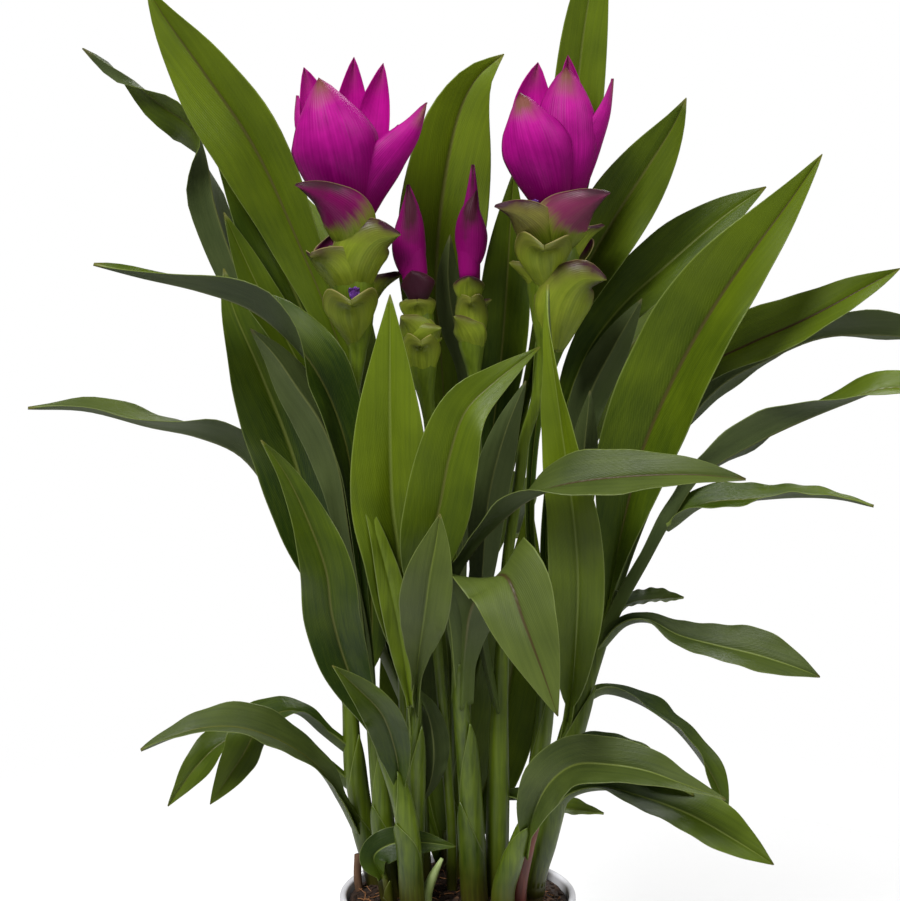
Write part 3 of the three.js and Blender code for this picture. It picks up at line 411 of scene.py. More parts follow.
def crownFinish(name, tones, inner):
    finish, wire = startFinish(name)
    blade = wire.node("ShaderNodeUVMap", {"uv_map": "blade"})
    tint = wire.node("ShaderNodeUVMap", {"uv_map": "tint"})
    spot = wire.node("ShaderNodeTexCoord", {}, {}, "Object")
    side = abs(blade.part(0) * 2 - 1)
    share = blade.part(1)
    patches = spot.grain(90.0, 2.0)
    streaks = blade.stretched(22.0, 1.6, 1.0).grain(1.0, 4.0, 0.65)
    ribs = (blade.part(0) * (6.2832 * tones["ribs"]) + streaks * 3.0).sine() * 0.5 + 0.5
    # painted highlight: the bracts turn paler pink towards the top; grain, streaks and the inner face shift
    # the pink as well
    pinkToneAndHighlight = share.rise(0.25, 0.85) * 0.5 + (patches - 0.5) * 0.8 + (streaks - 0.5) * 1.1 + inner - 0.05
    petal = pinkToneAndHighlight.between(tones["magenta"], tones["pink"])
    petal = ((1 - share.rise(0.05, 0.45)) * 0.8).between(petal, tones["crimson"])
    petal = (ribs * 0.07).between(petal, tones["pink"])
    middle = 1 - side.rise(0.1, 0.7) * 0.85
    worn = share.rise(tones["wornFrom"], 0.97) * 1.25 + (patches - 0.5) * 1.1 + (streaks - 0.5) * 0.5 - 0.2
    worn = worn * middle * tint.part(1)
    petal = worn.between(petal, tones["leafy"])
    petal = (share.rise(0.93, 0.995) * 0.7 * tint.part(1)).between(petal, tones["tip"])
    gloss = 0.46 + (streaks - 0.5) * 0.3
    endFinish(wire, petal, gloss, ribs * 0.35 + streaks * 0.9, 0.0003, 0.6, IOR=1.22)
    return finish


def plainFinish(name, first, second, scale, roughness, relief=0.0003, stretch=(1.0, 1.0, 1.0), **constants):
    # two tones in an uneven grain
    finish, wire = startFinish(name)
    spot = wire.node("ShaderNodeTexCoord", {}, {}, "Object")
    grain = spot.stretched(*stretch).grain(scale, 4.0, 0.6)
    tone = (grain * 2.2 - 0.6).between(first, second)
    endFinish(wire, tone, roughness + (grain - 0.5) * 0.12, grain, relief, 0.6, **constants)
    return finish


leafTop = leafFinish("leafTop", leafTones)
leafUnder = leafFinish("leafUnder", undersideTones)
leafDull = leafFinish("leafDull", dullTones)
stemSkin = stemFinish("stemSkin", stemTones)
sheathSkin = stemFinish("sheathSkin", stemTones, 0.7)
cupSkin = cupFinish("cupSkin", cupTones)
crownOuter = crownFinish("crownOuter", crownTones, 0.0)
crownInner = crownFinish("crownInner", crownTones, 0.3)
budSkin = crownFinish("budSkin", budTones, 0.0)
trueFlower = plainFinish("trueFlower", (0.045, 0.006, 0.13), (0.20, 0.06, 0.36), 700.0, 0.4)
print("finishes ready")


# A leaf: two halves rise from the rib and wave along their margins
leafForm = {
    "width": 30,
    "widest": 0.45,
    "fullness": 1,
    "fold": 24,
    "stalkFold": 50,
    "wave": 2.2,
    "waves": 2,
    "phase": 0,
    "petiole": 0.18,
    "stalkWidth": 6,
    "stalkThickness": 3.6,
    "ribThickness": 1.4,
    "skin": 0.5,
    "ruffle": 0.5,       # small waves of the margin, mm
    "veinRun": 95,       # how far a vein runs from rib to margin, mm
    "stations": 52,
    "tone": 0.45,        # 0 in the shade, 1 in the sun
    "rust": 0.5,         # how red the rib is on top
}
leafColumns = np.array([0, 0.045, 0.11, 0.22, 0.36, 0.5, 0.64, 0.77, 0.88, 0.955, 1])
leafColumns = np.concatenate([-leafColumns[:0:-1], leafColumns])


def halfWidth(form, share):
    stalk = form["stalkWidth"] / 2
    onBlade = np.clip((share - form["petiole"]) / (1 - form["petiole"]), 0, 1)
    skew = math.log(0.5) / math.log(form["widest"])
    belly = np.sin(np.pi * onBlade ** skew).clip(0, 1) ** form["fullness"]
    blade = form["width"] / 2 * belly + stalk * (1 - onBlade) ** 2 + 0.25 * onBlade
    return np.where(share <= form["petiole"], stalk, blade)


def addLeaf(piece, entry, looks=(0, 1)):
    form = {**leafForm, **entry}
    steps = form["stations"]
    point, cross, face, length = ribFrames(form["rib"], steps)
    share = np.linspace(0, 1, steps + 1)[:, None]
    onBlade = np.clip((share - form["petiole"]) / (1 - form["petiole"]), 0, 1)
    half = halfWidth(form, share)
    opening = smooth(share, form["petiole"] * 0.6, form["petiole"] + 0.25)
    fold = np.radians(form["stalkFold"] + (form["fold"] - form["stalkFold"]) * opening)
    ribDepth = form["stalkThickness"] + (form["ribThickness"] - form["stalkThickness"]) * opening
    side = leafColumns[None, :]
    out = np.abs(side)
    swell = np.sin(np.pi * onBlade) ** 0.7
    ripple = form["wave"] * swell * out ** 1.4 * np.sin(
        2 * np.pi * form["waves"] * onBlade + form["phase"] + side * 1.1)
    ruffle = form["ruffle"] * swell * out ** 3 * np.sin(
        2 * np.pi * form["waves"] * 3.1 * onBlade + form["phase"] * 2 + side * 2.3)
    arch = out * (1.12 - 0.12 * out)
    lift = half * np.sin(fold) * arch + ripple + ruffle - 0.35 * np.exp(-(out * half / 0.8) ** 2)
    wide = side * half * np.cos(fold)
    top = point[:, None] + cross[:, None] * wide[..., None] + face[:, None] * lift[..., None]
    skin = form["skin"] * (1 - 0.35 * out ** 4)
    depth = skin + (ribDepth - form["skin"]) * np.exp(-(out * half / 2.2) ** 2)
    slope = np.sign(side) * fold * np.minimum(1, out * half / 4)
    under = (top - face[:, None] * (depth * np.cos(slope))[..., None]
             + cross[:, None] * (depth * np.sin(slope))[..., None])
    rings = np.concatenate([top, under[:, ::-1]], axis=1)
    one = np.ones_like(top[..., 0])
    run = share * length - form["veinRun"] * out ** 1.15
    marks = np.stack([0.5 + 0.5 * side * one, share * one, wide * one, run * one,
                      form["tone"] * one, form["rust"] * one], -1)
    marks = np.concatenate([marks, marks[:, ::-1]], axis=1)
    sides = len(leafColumns)
    piece.loft(rings, marks, np.array([looks[0]] * sides + [looks[1]] * (sides - 1) + [looks[0]]))


# A bract: a cupped blade whose hollow side faces its stalk
bractForm = {
    "width": 22,
    "widest": 0.5,
    "fullness": 0.8,
    "cup": 60,
    "petiole": 0,
    "stalkWidth": 12,
    "stations": 22,
    "skin": 0.6,
    "flare": 0,          # how far the top curls outwards, mm
    "ruffle": 0.35,
    "tone": 0.5,
    "rust": 1.0,         # how much of the tip's dark colour it has
}
bractColumns = np.linspace(-1, 1, 17)


def addBract(piece, entry, looks=(0, 0)):
    form = {**bractForm, **entry}
    steps = form["stations"]
    point, cross, face, length = ribFrames(form["rib"], steps)
    share = np.linspace(0, 1, steps + 1)[:, None]
    half = halfWidth(form, share)
    cup = math.radians(form["cup"])
    radius = half / cup
    side = bractColumns[None, :]
    angle = side * cup
    curl = form["flare"] * smooth(share, 0.5, 1.0) ** 1.5
    ruffle = form["ruffle"] * np.abs(side) ** 3 * np.sin(2 * np.pi * 2.6 * share + side * 2.1 + form["width"])
    pinch = 0.5 * smooth(share, 0.72, 1.0) * np.exp(-(side / 0.16) ** 2)

    def skin(distance):
        away = radius - distance * np.cos(angle) - curl * np.abs(np.cos(angle)) + ruffle - pinch
        return (point[:, None] + face[:, None] * away[..., None]
                + cross[:, None] * (distance * np.sin(angle))[..., None])

    thickness = form["skin"] * (1 - 0.4 * np.abs(side) ** 4)
    inner = skin(np.maximum(radius - thickness, 0.12))
    outer = skin(radius + 0 * side)
    rings = np.concatenate([inner, outer[:, ::-1]], axis=1)
    one = np.ones_like(inner[..., 0])
    marks = np.stack([0.5 + 0.5 * side * one, share * one, side * half * one, share * length * one,
                      form["tone"] * one, form["rust"] * one], -1)
    marks = np.concatenate([marks, marks[:, ::-1]], axis=1)
    sides = len(bractColumns)
    piece.loft(rings, marks, np.array([looks[0]] * (sides - 1) + [looks[1]] * (sides + 1)))


# A round stem with faint lengthwise ridges
stemForm = {
    "corners": 20,
    "step": 5,           # mm
    "ridges": 5,
    "ridgeHeight": 0.035,
    "tone": 0.5,
    "rust": 1.0,
}


def addTube(piece, points, radii, look, tone=0.5, rust=1.0, ridge=None):
    path = Path(points)
    steps = max(6, int(path.walked[-1] / stemForm["step"]))
    t = path.even(steps)
    radius = np.interp(t, np.linspace(0, 1, len(radii)), radii)[:, None]
    along = path.heading(t)
    back = unit(np.cross(along, np.array([1.0, 0, 0])))
    right = np.cross(back, along)
    angle = (2 * np.pi * np.arange(stemForm["corners"]) / stemForm["corners"])[None, :]
    ridge = stemForm["ridgeHeight"] if ridge is None else ridge
    reach = radius * (1 + ridge * np.cos(stemForm["ridges"] * angle + 1.3))
    rings = (path.at(t)[:, None] - right[:, None] * (reach * np.cos(angle))[..., None]
             - back[:, None] * (reach * np.sin(angle))[..., None])
    one = np.ones_like(rings[..., 0])
    share = np.linspace(0, 1, steps + 1)[:, None]
    marks = np.stack([(0.5 + 0.5 * np.cos(angle)) * one, share * one, np.cos(angle) * radius * one,
                      share * path.walked[-1] * one, tone * one, rust * one], -1)
    piece.loft(rings, marks, np.full(stemForm["corners"], look))


# A leaf's old sheath wraps the stem from one share of its length to another and ends in a free point
sheathForm = {
    "wrap": 168,         # half the way round at its foot, degrees
    "skin": 0.5,
    "free": 1.5,         # how far its point stands off, mm
    "rows": 26,
    "columns": 15,
}


def addSheath(piece, points, radii, look, wrapped):
    low, high, turn, tone = wrapped
    path = Path(points)
    t = np.linspace(low, high, sheathForm["rows"])
    share = np.linspace(0, 1, sheathForm["rows"])[:, None]
    side = np.linspace(-1, 1, sheathForm["columns"])[None, :]
    radius = np.interp(t, np.linspace(0, 1, len(radii)), radii)[:, None]
    along = path.heading(t)
    back = unit(np.cross(along, np.array([1.0, 0, 0])))
    right = np.cross(back, along)
    spread = math.radians(sheathForm["wrap"]) * (1 - share ** 1.7) + 0.03
    angle = math.radians(turn) - side * spread
    heading = (right[:, None] * np.sin(angle)[..., None] + back[:, None] * np.cos(angle)[..., None])
    inner = radius * (1 + stemForm["ridgeHeight"]) + 0.15 + sheathForm["free"] * share ** 2.5
    outer = inner + sheathForm["skin"] * (1 - 0.5 * side ** 4)
    centre = path.at(t)[:, None]
    rings = np.concatenate([centre + heading * outer[..., None],
                            (centre + heading * (inner + 0 * side)[..., None])[:, ::-1]], axis=1)
    one = np.ones_like(outer)
    marks = np.stack([0.5 + 0.5 * side * one, share * one, side * radius * one, share * one * 50,
                      tone * one, 0.7 * one], -1)
    marks = np.concatenate([marks, marks[:, ::-1]], axis=1)
    piece.loft(rings, marks, np.full(2 * sheathForm["columns"], look))


soilLevel = 105
rootDepth = 28


def addStem(piece, plan, look, **tints):
    base = (plan["foot"][0], plan["foot"][1], soilLevel - rootDepth)
    radii = [entry[3] for entry in plan["stem"]]
    points = [base] + [place(*entry[:3]) for entry in plan["stem"]]
    addTube(piece, points, [radii[0]] + radii, look, **tints)
    for wrapped in plan.get("sheaths", []):
        addSheath(piece, points, [radii[0]] + radii, look + 1, wrapped)


dullLooks = (4, 1)    # leafDull above and leafUnder below, in the order of a shoot's finishes
paleLooks = (3, 3)    # sheathSkin on both faces


def growShoot(plan):
    name = plan["node"].split("_")
    piece = Piece(name[0] + "".join(word.title() for word in name[1:]) + "Leaves", plan["node"], "leaf",
                  [leafTop, leafUnder, stemSkin, sheathSkin, leafDull])
    plan = {"sheaths": [(0.14, 0.72, 140, 0.5), (0.12, 0.50, -140, 0.2)], **plan}
    addStem(piece, plan, 2, rust=plan.get("rust", 1.0), tone=plan.get("tone", 0.4))
    for leaf in plan["leaves"] + plan.get("folds", []):
        addLeaf(piece, leaf, leaf.get("looks", (0, 1)))
    return piece.make()


def addFlower(piece, spot):
    # a small purple flower peeps out over a green bract: (across, up, depth, size)
    across, up, depth, size = spot
    for lean, turn, rise in ((-0.9, -150, 0.8), (0.0, 180, 1.0), (0.9, 150, 0.9), (0.3, 0, 1.3)):
        front = -0.35 if abs(turn) > 90 else 0.35
        rib = [(across, up - size * 2, depth, turn),
               (across + lean * size * 0.5, up - size * 0.3, depth + front * size, turn),
               (across + lean * size, up + rise * size * 0.6, depth + front * size * 2.4, turn)]
        addBract(piece, {"rib": rib,
                         "width": size * 1.9, "cup": 50, "stalkWidth": size * 0.6, "stations": 10,
                         "skin": 0.35}, (4, 4))


def growStalk(plan):
    name = plan["node"].split("_")
    piece = Piece(name[0] + "".join(word.title() for word in name[1:]) + "Stalk", plan["node"], "scape",
                  [leafTop, leafUnder, stemSkin, cupSkin, trueFlower])
    addStem(piece, plan, 2, rust=plan.get("rust", 0.6), tone=plan.get("tone", 0.7))
    for leaf in plan["leaves"]:
        addLeaf(piece, leaf)
    for bract in plan["bracts"]:
        addBract(piece, {"flare": 2.5, "skin": 0.8, "tone": 0, **bract}, (3, 3))
    for spot in plan.get("flowers", []):
        addFlower(piece, spot)
    return piece.make()


def growCrown(plan):
    bud = plan["node"].startswith("bud")
    name = plan["node"].split("_")
    outer, inner = (budSkin, budSkin) if bud else (crownOuter, crownInner)
    piece = Piece(name[0] + "".join(word.title() for word in name[1:]) + "Crown", plan["node"],
                  "bud" if bud else "bloom", [inner, outer])
    addTube(piece, [place(*entry[:3]) for entry in plan["core"]], [entry[3] for entry in plan["core"]], 1,
            ridge=0.0, rust=1.0 if bud else 0.0)
    for bract in plan["bracts"]:
        addBract(piece, {"flare": 1.0, **bract}, (0, 1))
    return piece.make()


shootLeft = {
    "node": "shoot_left",
    "foot": (-38, 22),
    "stem": [(-36, -218, 22, 4.8), (-43, -188, 22, 5.2), (-48, -160, 20, 5.2), (-50, -128, 18, 4),
             (-52, -106, 14, 1.8)],
    "leaves": [
        dict(rib=[(-50, -134, 18, 0), (-53, -100, 12, 0), (-61, -66, 6, 0), (-68, -38, 1, 10),
                  (-80, 2, -6, 15), (-96, 42, -11, 10), (-109, 73, -14, 0), (-113, 91, -13, -10)],
             width=40, widest=0.5, fold=22, petiole=0.2, wave=2.5, tone=0.05, rust=0.3),
        dict(rib=[(-50, -134, 18, -40), (-57, -95, 18, -60), (-70, -58, 14, -80), (-86, -26, 8, -112),
                  (-104, -2, 0, -112), (-126, 8, -12, -92), (-150, 13, -24, -80), (-182, 21, -32, -66),
                  (-211, 22, -38, -60)],
             width=25, widest=0.55, petiole=0.2, wave=2.5, waves=2.5, looks=dullLooks, tone=0.35, fold=30),
        dict(rib=[(-49, -150, 20, -60), (-62, -140, 14, -60), (-78, -130, 6, -60), (-93, -135, 0, -45),
                  (-104, -153, -4, -15), (-120, -177, -8, 0)],
             width=23, widest=0.55, petiole=0.15, wave=1.2, tone=0.3),
        dict(rib=[(-46, -190, 18, -40), (-53, -176, 4, -40), (-63, -161, -8, -45),
                  (-76, -150, -16, -50), (-92, -142, -22, -52), (-109, -138, -28, -52),
                  (-126, -139, -32, -50), (-140, -143, -34, -60), (-155, -149, -36, -80)],
             width=26, widest=0.55, petiole=0.2, wave=1.6, looks=dullLooks, tone=0.35),
        dict(rib=[(-48, -168, 22, -60), (-68, -152, 20, -70), (-90, -142, 17, -70),
                  (-112, -145, 13, -50), (-126, -157, 9, 0), (-135, -169, 7, 20), (-141, -178, 5, 10)],
             width=17, widest=0.6, petiole=0.2, wave=1.4, tone=0.3),
    ],
}
growShoot(shootLeft)

shootLeftMiddle = {
    "node": "shoot_left_middle",
    "foot": (-30, 0),
    "stem": [(-30, -218, 0, 5.2), (-33, -190, 1, 5), (-36, -160, 0, 4.4), (-39, -128, -3, 3.4),
             (-41, -108, -6, 1.6)],
    "leaves": [
        dict(rib=[(-39, -132, -3, -20), (-41, -100, -8, -20), (-45, -60, -14, -20), (-52, 3, -24, -25),
                  (-66, 38, -30, -38), (-82, 58, -38, -70), (-100, 72, -48, -96), (-125, 81, -58, -94),
                  (-155, 88, -66, -84), (-178, 94, -70, -66)],
             width=30, widest=0.56, petiole=0.22, wave=2.4, tone=0.12, fold=32),
        dict(rib=[(-38, -134, -3, 150), (-42, -96, -8, 150), (-50, -50, -16, 155), (-57, -6, -24, 165),
                  (-65, 14, -28, 170), (-77, 32, -32, 175), (-88, 48, -36, 180), (-100, 61, -39, 180)],
             width=24, widest=0.62, petiole=0.3, wave=1.5, tone=0.5),
    ],
}
growShoot(shootLeftMiddle)

shootFrontLeft = {
    "node": "shoot_front_left",
    "foot": (-20, -22),
    "stem": [(-19, -222, -22, 5.6), (-21, -194, -24, 5.2), (-25, -174, -25, 4.8), (-33, -152, -25, 3.6),
             (-37, -140, -26, 1.8)],
    "leaves": [
        dict(rib=[(-32, -156, -24, 0), (-42, -131, -28, 0), (-52, -107, -34, 5), (-59, -82, -41, 5),
                  (-62, -60, -46, 0), (-71, -35, -50, -10), (-82, -12, -54, -15), (-94, 5, -60, -15)],
             width=28, widest=0.45, petiole=0.1, wave=2.2, tone=0.2),
        dict(rib=[(-24, -178, -23, 10), (-27, -152, -32, 10), (-34, -132, -44, 10), (-45, -120, -54, 0),
                  (-58, -108, -66, -10)],
             width=19, widest=0.5, petiole=0.1, wave=1.2, tone=0.2),
    ],
}
growShoot(shootFrontLeft)

shootCentre = {
    "node": "shoot_centre",
    "foot": (-17, -4),
    "stem": [(-18, -218, -5, 4.6), (-18, -190, -6, 4.6), (-18, -155, -9, 4.6), (-18, -124, -14, 3.8),
             (-19, -104, -20, 1.8)],
    "leaves": [
        dict(rib=[(-18, -150, -10, -10), (-21, -112, -20, -12), (-24, -80, -28, -14),
                  (-26, -50, -34, -12), (-29, -25, -38, 0), (-30, 14, -42, 5), (-30, 52, -42, 5),
                  (-30, 78, -40, 0)],
             width=42, widest=0.5, petiole=0.14, wave=1.8, stalkFold=62, tone=0.55, rust=0.1),
        dict(rib=[(-18, -130, -14, 5), (-16, -95, -27, 10), (-13, -62, -38, 10), (-5, -27, -48, 8),
                  (0, -2, -50, 5), (8, 20, -50, 10), (22, 34, -48, 15), (45, 52, -42, 10)],
             width=33, widest=0.42, petiole=0.3, wave=2, tone=0.4, rust=0.5),
        dict(rib=[(-18, -132, -14, 0), (-16, -106, -38, 0), (-13, -84, -58, 5), (-10, -62, -69, 5),
                  (-7, -46, -73, 5), (-5, -32, -74, 0)],
             width=26, widest=0.62, petiole=0.2, wave=1, looks=dullLooks, tone=0.5, rust=0.1),
        dict(rib=[(-17, -120, -13, 180), (-11, -132, -7, 180), (-8, -148, -5, 175), (-9, -163, -3, 175),
                  (-13, -175, -1, 170)],
             width=15, widest=0.5, petiole=0.05, wave=0.6, tone=0.3),
    ],
    "folds": [   # the tall leaf's margin turned over, its pale underside out
        dict(rib=[(-20, -128, -24, 0), (-24.5, -95, -33, -10), (-31.5, -62, -39, -15), (-38, -38, -42, -20),
                  (-45, -18, -42, -20)],
             width=13, widest=0.45, petiole=0.05, wave=0.4, ruffle=0.2, stalkWidth=5, stalkThickness=1,
             ribThickness=0.6, fold=14, looks=paleLooks, tone=1.1, rust=0.0),
    ],
}
growShoot(shootCentre)

shootArching = {
    "node": "shoot_arching",
    "foot": (12, -5),
    "stem": [(12, -220, -7, 6.2), (11, -194, -9, 5.8), (8, -152, -14, 5), (5, -124, -22, 3.8),
             (5, -106, -28, 1.8)],
    "leaves": [
        dict(rib=[(6, -128, -22, 180), (8, -96, -32, 180), (12, -76, -45, 180), (28, -63, -80, 0),
                  (37, -86, -92, 0), (46, -110, -96, 0), (54, -133, -97, 0)],
             width=38, widest=0.52, petiole=0.12, wave=1.6, fold=18, stalkWidth=13, stalkFold=34,
             looks=dullLooks,
             tone=0.55, rust=0.9),
        dict(rib=[(5, -124, -22, 90), (3, -92, -32, 100), (1, -66, -40, 115), (8, -53, -50, 115),
                  (22, -37, -60, 110), (40, -23, -70, 85), (57, -17, -78, 55), (88, -13, -88, 32),
                  (122, -12, -95, 30), (148, -14, -98, 30)],
             width=27, widest=0.62, petiole=0.22, wave=2, waves=2.5, looks=dullLooks, tone=0.4, rust=0.9),
    ],
}
growShoot(shootArching)

shootLow = {
    "node": "shoot_low",
    "foot": (-31, -13),
    "stem": [(-31, -222, -13, 1.8), (-34, -206, -13, 1.6)],
    "leaves": [
        dict(rib=[(-34, -214, -13, 0), (-38, -203, -14, 0), (-30, -197, -13.5, 0), (-14, -196, -13, 0),
                  (3, -198, -14, 0)],
             width=15, widest=0.4, petiole=0.05, wave=0.4, fold=12, stalkThickness=2, tone=0.0, rust=0.1),
    ],
}
growShoot(shootLow)

shootRight = {
    "node": "shoot_right",
    "foot": (41, -9),
    "stem": [(42, -216, -11, 5.2), (47, -196, -13, 5.6), (54, -166, -14, 6), (60, -142, -15, 5.6),
             (68, -116, -15, 4.8), (77, -90, -15, 3.6), (83, -70, -15, 1.8)],
    "leaves": [
        dict(rib=[(57, -146, -16, 0), (61, -120, -24, 5), (63, -95, -33, 10), (64, -65, -42, 8),
                  (62, -35, -49, 5), (58, -5, -52, 20), (53, 30, -52, 50), (49, 60, -48, 60),
                  (48, 83, -44, 60)],
             width=27, widest=0.36, petiole=0.1, wave=1.2, tone=0.65, rust=0.1),
        dict(rib=[(75, -98, -15, 10), (81, -65, -15, 12), (87, -35, -17, 14), (97, 2, -20, 18),
                  (117, 46, -27, 20), (136, 78, -34, 20), (150, 98, -40, 18), (170, 125, -45, 12),
                  (186, 148, -50, 0)],
             width=50, widest=0.5, petiole=0.1, wave=2.6, fold=30, tone=0.45, rust=0.8),
        dict(rib=[(76, -94, -14, 20), (88, -40, -6, 20), (104, 12, -4, 20), (125, 40, -8, 22),
                  (149, 53, -14, 28), (172, 63, -20, 30), (190, 72, -25, 25), (208, 82, -29, 15),
                  (225, 91, -32, 0)],
             width=28, widest=0.62, petiole=0.3, wave=2.4, waves=2.5, tone=0.4, rust=1.0),
        dict(rib=[(76, -96, -12, 140), (88, -55, 2, 140), (104, -16, 8, 140), (118, 14, 8, 140),
                  (136, 34, 6, 135), (160, 47, 3, 125), (184, 57, -2, 115), (207, 59, -6, 120),
                  (234, 57, -10, 125), (262, 50, -14, 120)],
             width=29, widest=0.62, petiole=0.25, wave=2.2, waves=2.5, tone=0.3),
        dict(rib=[(76, -94, -16, 120), (86, -73, -20, 120), (97, -54, -25, 122), (109, -34, -30, 125),
                  (126, -11, -36, 125), (151, 4, -43, 122), (176, 16, -50, 112), (198, 25, -56, 80),
                  (216, 31, -61, 45), (237, 31, -66, 40), (258, 27, -70, 40)],
             width=27, widest=0.6, petiole=0.22, wave=2.2, waves=2.5, tone=0.35),
        dict(rib=[(107, -38, -29, 60), (125, -27, -36, 55), (150, -24, -44, 50), (175, -22, -52, 75),
                  (195, -23, -58, 80), (212, -27, -63, 60)],
             width=17, widest=0.36, petiole=0.05, wave=1.2, stalkWidth=4, tone=0.35),
        dict(rib=[(80, -82, -14, 50), (90, -76, -10, 50), (102, -74, -6, 50), (117, -73, -2, 40)],
             width=12, widest=0.5, petiole=0.05, wave=0.6, stalkWidth=3, tone=0.2),
        dict(rib=[(73, -100, -15, 40), (86, -86, -24, 45), (98, -84, -32, 40), (114, -92, -42, 30),
                  (132, -97, -52, 30), (153, -102, -60, 30), (172, -108, -67, 25), (185, -113, -71, 15)],
             width=24, widest=0.62, petiole=0.24, wave=1.4, looks=dullLooks, tone=0.25, rust=0.2),
        dict(rib=[(66, -124, -14, 60), (78, -119, -6, 60), (96, -126, 0, 62), (112, -137, 5, 80),
                  (124, -151, 9, 60), (133, -166, 10, 30), (139, -181, 10, 10)],
             width=19, widest=0.6, petiole=0.1, wave=1.8, waves=1.5, tone=0.15),
        dict(rib=[(53, -166, -16, 40), (66, -150, -26, 45), (84, -151, -36, 45), (104, -161, -44, 40),
                  (122, -172, -50, 35)],
             width=18, widest=0.5, petiole=0.1, wave=1, tone=0.25),
        dict(rib=[(49, -186, -14, 40), (59, -172, -20, 45), (76, -168, -32, 45), (96, -173, -42, 35),
                  (120, -182, -52, 25), (143, -195, -59, 20), (162, -207, -64, 10)],
             width=26, widest=0.6, petiole=0.22, wave=1.6, tone=0.25, rust=0.2),
    ],
}
growShoot(shootRight)

shootFrontRight = {
    "node": "shoot_front_right",
    "foot": (28, -30),
    "stem": [(26.5, -222, -30, 5.2), (30, -208, -31, 4.8), (37, -188, -35, 3.6), (42, -178, -38, 1.8)],
    "sheaths": [(0.14, 0.80, 175, 0.4)],
    "leaves": [
        dict(rib=[(37, -202, -32, 10), (41, -184, -40, 15), (50, -166, -50, 20), (63, -157, -60, 22),
                  (80, -157, -68, 22), (98, -160, -74, 25), (115, -166, -79, 40), (138, -174, -83, 40)],
             width=26, widest=0.45, petiole=0.1, wave=1.4, stalkWidth=9,
             looks=dullLooks, tone=0.35, rust=0.2),
    ],
}
growShoot(shootFrontRight)

shootBackLeft = {
    "node": "shoot_back_left",
    "foot": (-14, 26),
    "stem": [(-14, -216, 26, 5), (-17, -170, 26, 5), (-20, -128, 22, 4), (-23, -100, 20, 1.8)],
    "leaves": [
        dict(rib=[(-20, -134, 22, 0), (-23, -95, 17, 5), (-33, -25, 12, 10), (-57, 57, 12, 14),
                  (-75, 102, 16, 17), (-98, 152, 14, 17), (-123, 189, 8, 17), (-143, 217, 1, 12),
                  (-152, 232, -3, 5)],
             width=40, widest=0.68, petiole=0.34, wave=2, tone=0.5, rust=0.7),
        dict(rib=[(-20, -134, 24, 0), (-27, -80, 26, 0), (-40, -25, 27, 5), (-57, 25, 28, 5),
                  (-76, 75, 29, 5), (-93, 110, 29, 5), (-108, 138, 28, 0), (-120, 158, 26, 0)],
             width=31, widest=0.62, petiole=0.34, wave=2, tone=0.1, rust=0.3),
        dict(rib=[(-21, -134, 23, 0), (-34, -80, 22, 5), (-50, -20, 20, 5), (-66, 24, 18, 5),
                  (-81, 54, 17, 5), (-95, 80, 16, 5), (-104, 99, 16, 0), (-113, 119, 15, 0)],
             width=20, widest=0.66, petiole=0.34, wave=1.4, tone=0.3, rust=0.3),
        dict(rib=[(-20, -134, 25, 160), (-32, -90, 34, 160), (-52, -20, 42, 160), (-76, 30, 44, 165),
                  (-98, 70, 44, 165), (-111, 100, 42, 160), (-119, 125, 40, 150), (-123, 145, 38, 110),
                  (-129, 161, 34, 50), (-144, 172, 28, 20), (-158, 183, 22, 75), (-170, 191, 16, 140),
                  (-184, 201, 10, 165)],
             width=23, widest=0.66, petiole=0.3, wave=1.4, tone=0.3),
        dict(rib=[(-20, -132, 22, 170), (-32, -104, 18, 170), (-45, -75, 13, 170), (-49, -52, 10, 175),
                  (-52, -25, 8, 180), (-53, -3, 8, 180)],
             width=17, widest=0.6, petiole=0.25, wave=1, tone=0.9),
        dict(rib=[(-21, -130, 24, 180), (-27, -88, 26, 180), (-31, -58, 22, 180), (-36, -47, 16, 120),
                  (-39, -68, 11, 0), (-39, -90, 9, 0), (-41, -114, 9, 0)],
             width=20, widest=0.66, petiole=0.3, wave=1, tone=0.05),
        dict(rib=[(-20, -134, 26, 0), (-28, -60, 46, 0), (-42, 20, 74, 0), (-62, 84, 104, 5),
                  (-80, 120, 128, 0), (-96, 138, 150, 0)],
             width=38, widest=0.62, petiole=0.3, wave=2.4),
        dict(rib=[(-20, -134, 26, -20), (-34, -70, 52, -20), (-56, -26, 90, -20), (-74, -8, 124, -20),
                  (-88, -18, 156, -20)],
             width=34, widest=0.6, petiole=0.3, wave=2.4),
    ],
}
growShoot(shootBackLeft)

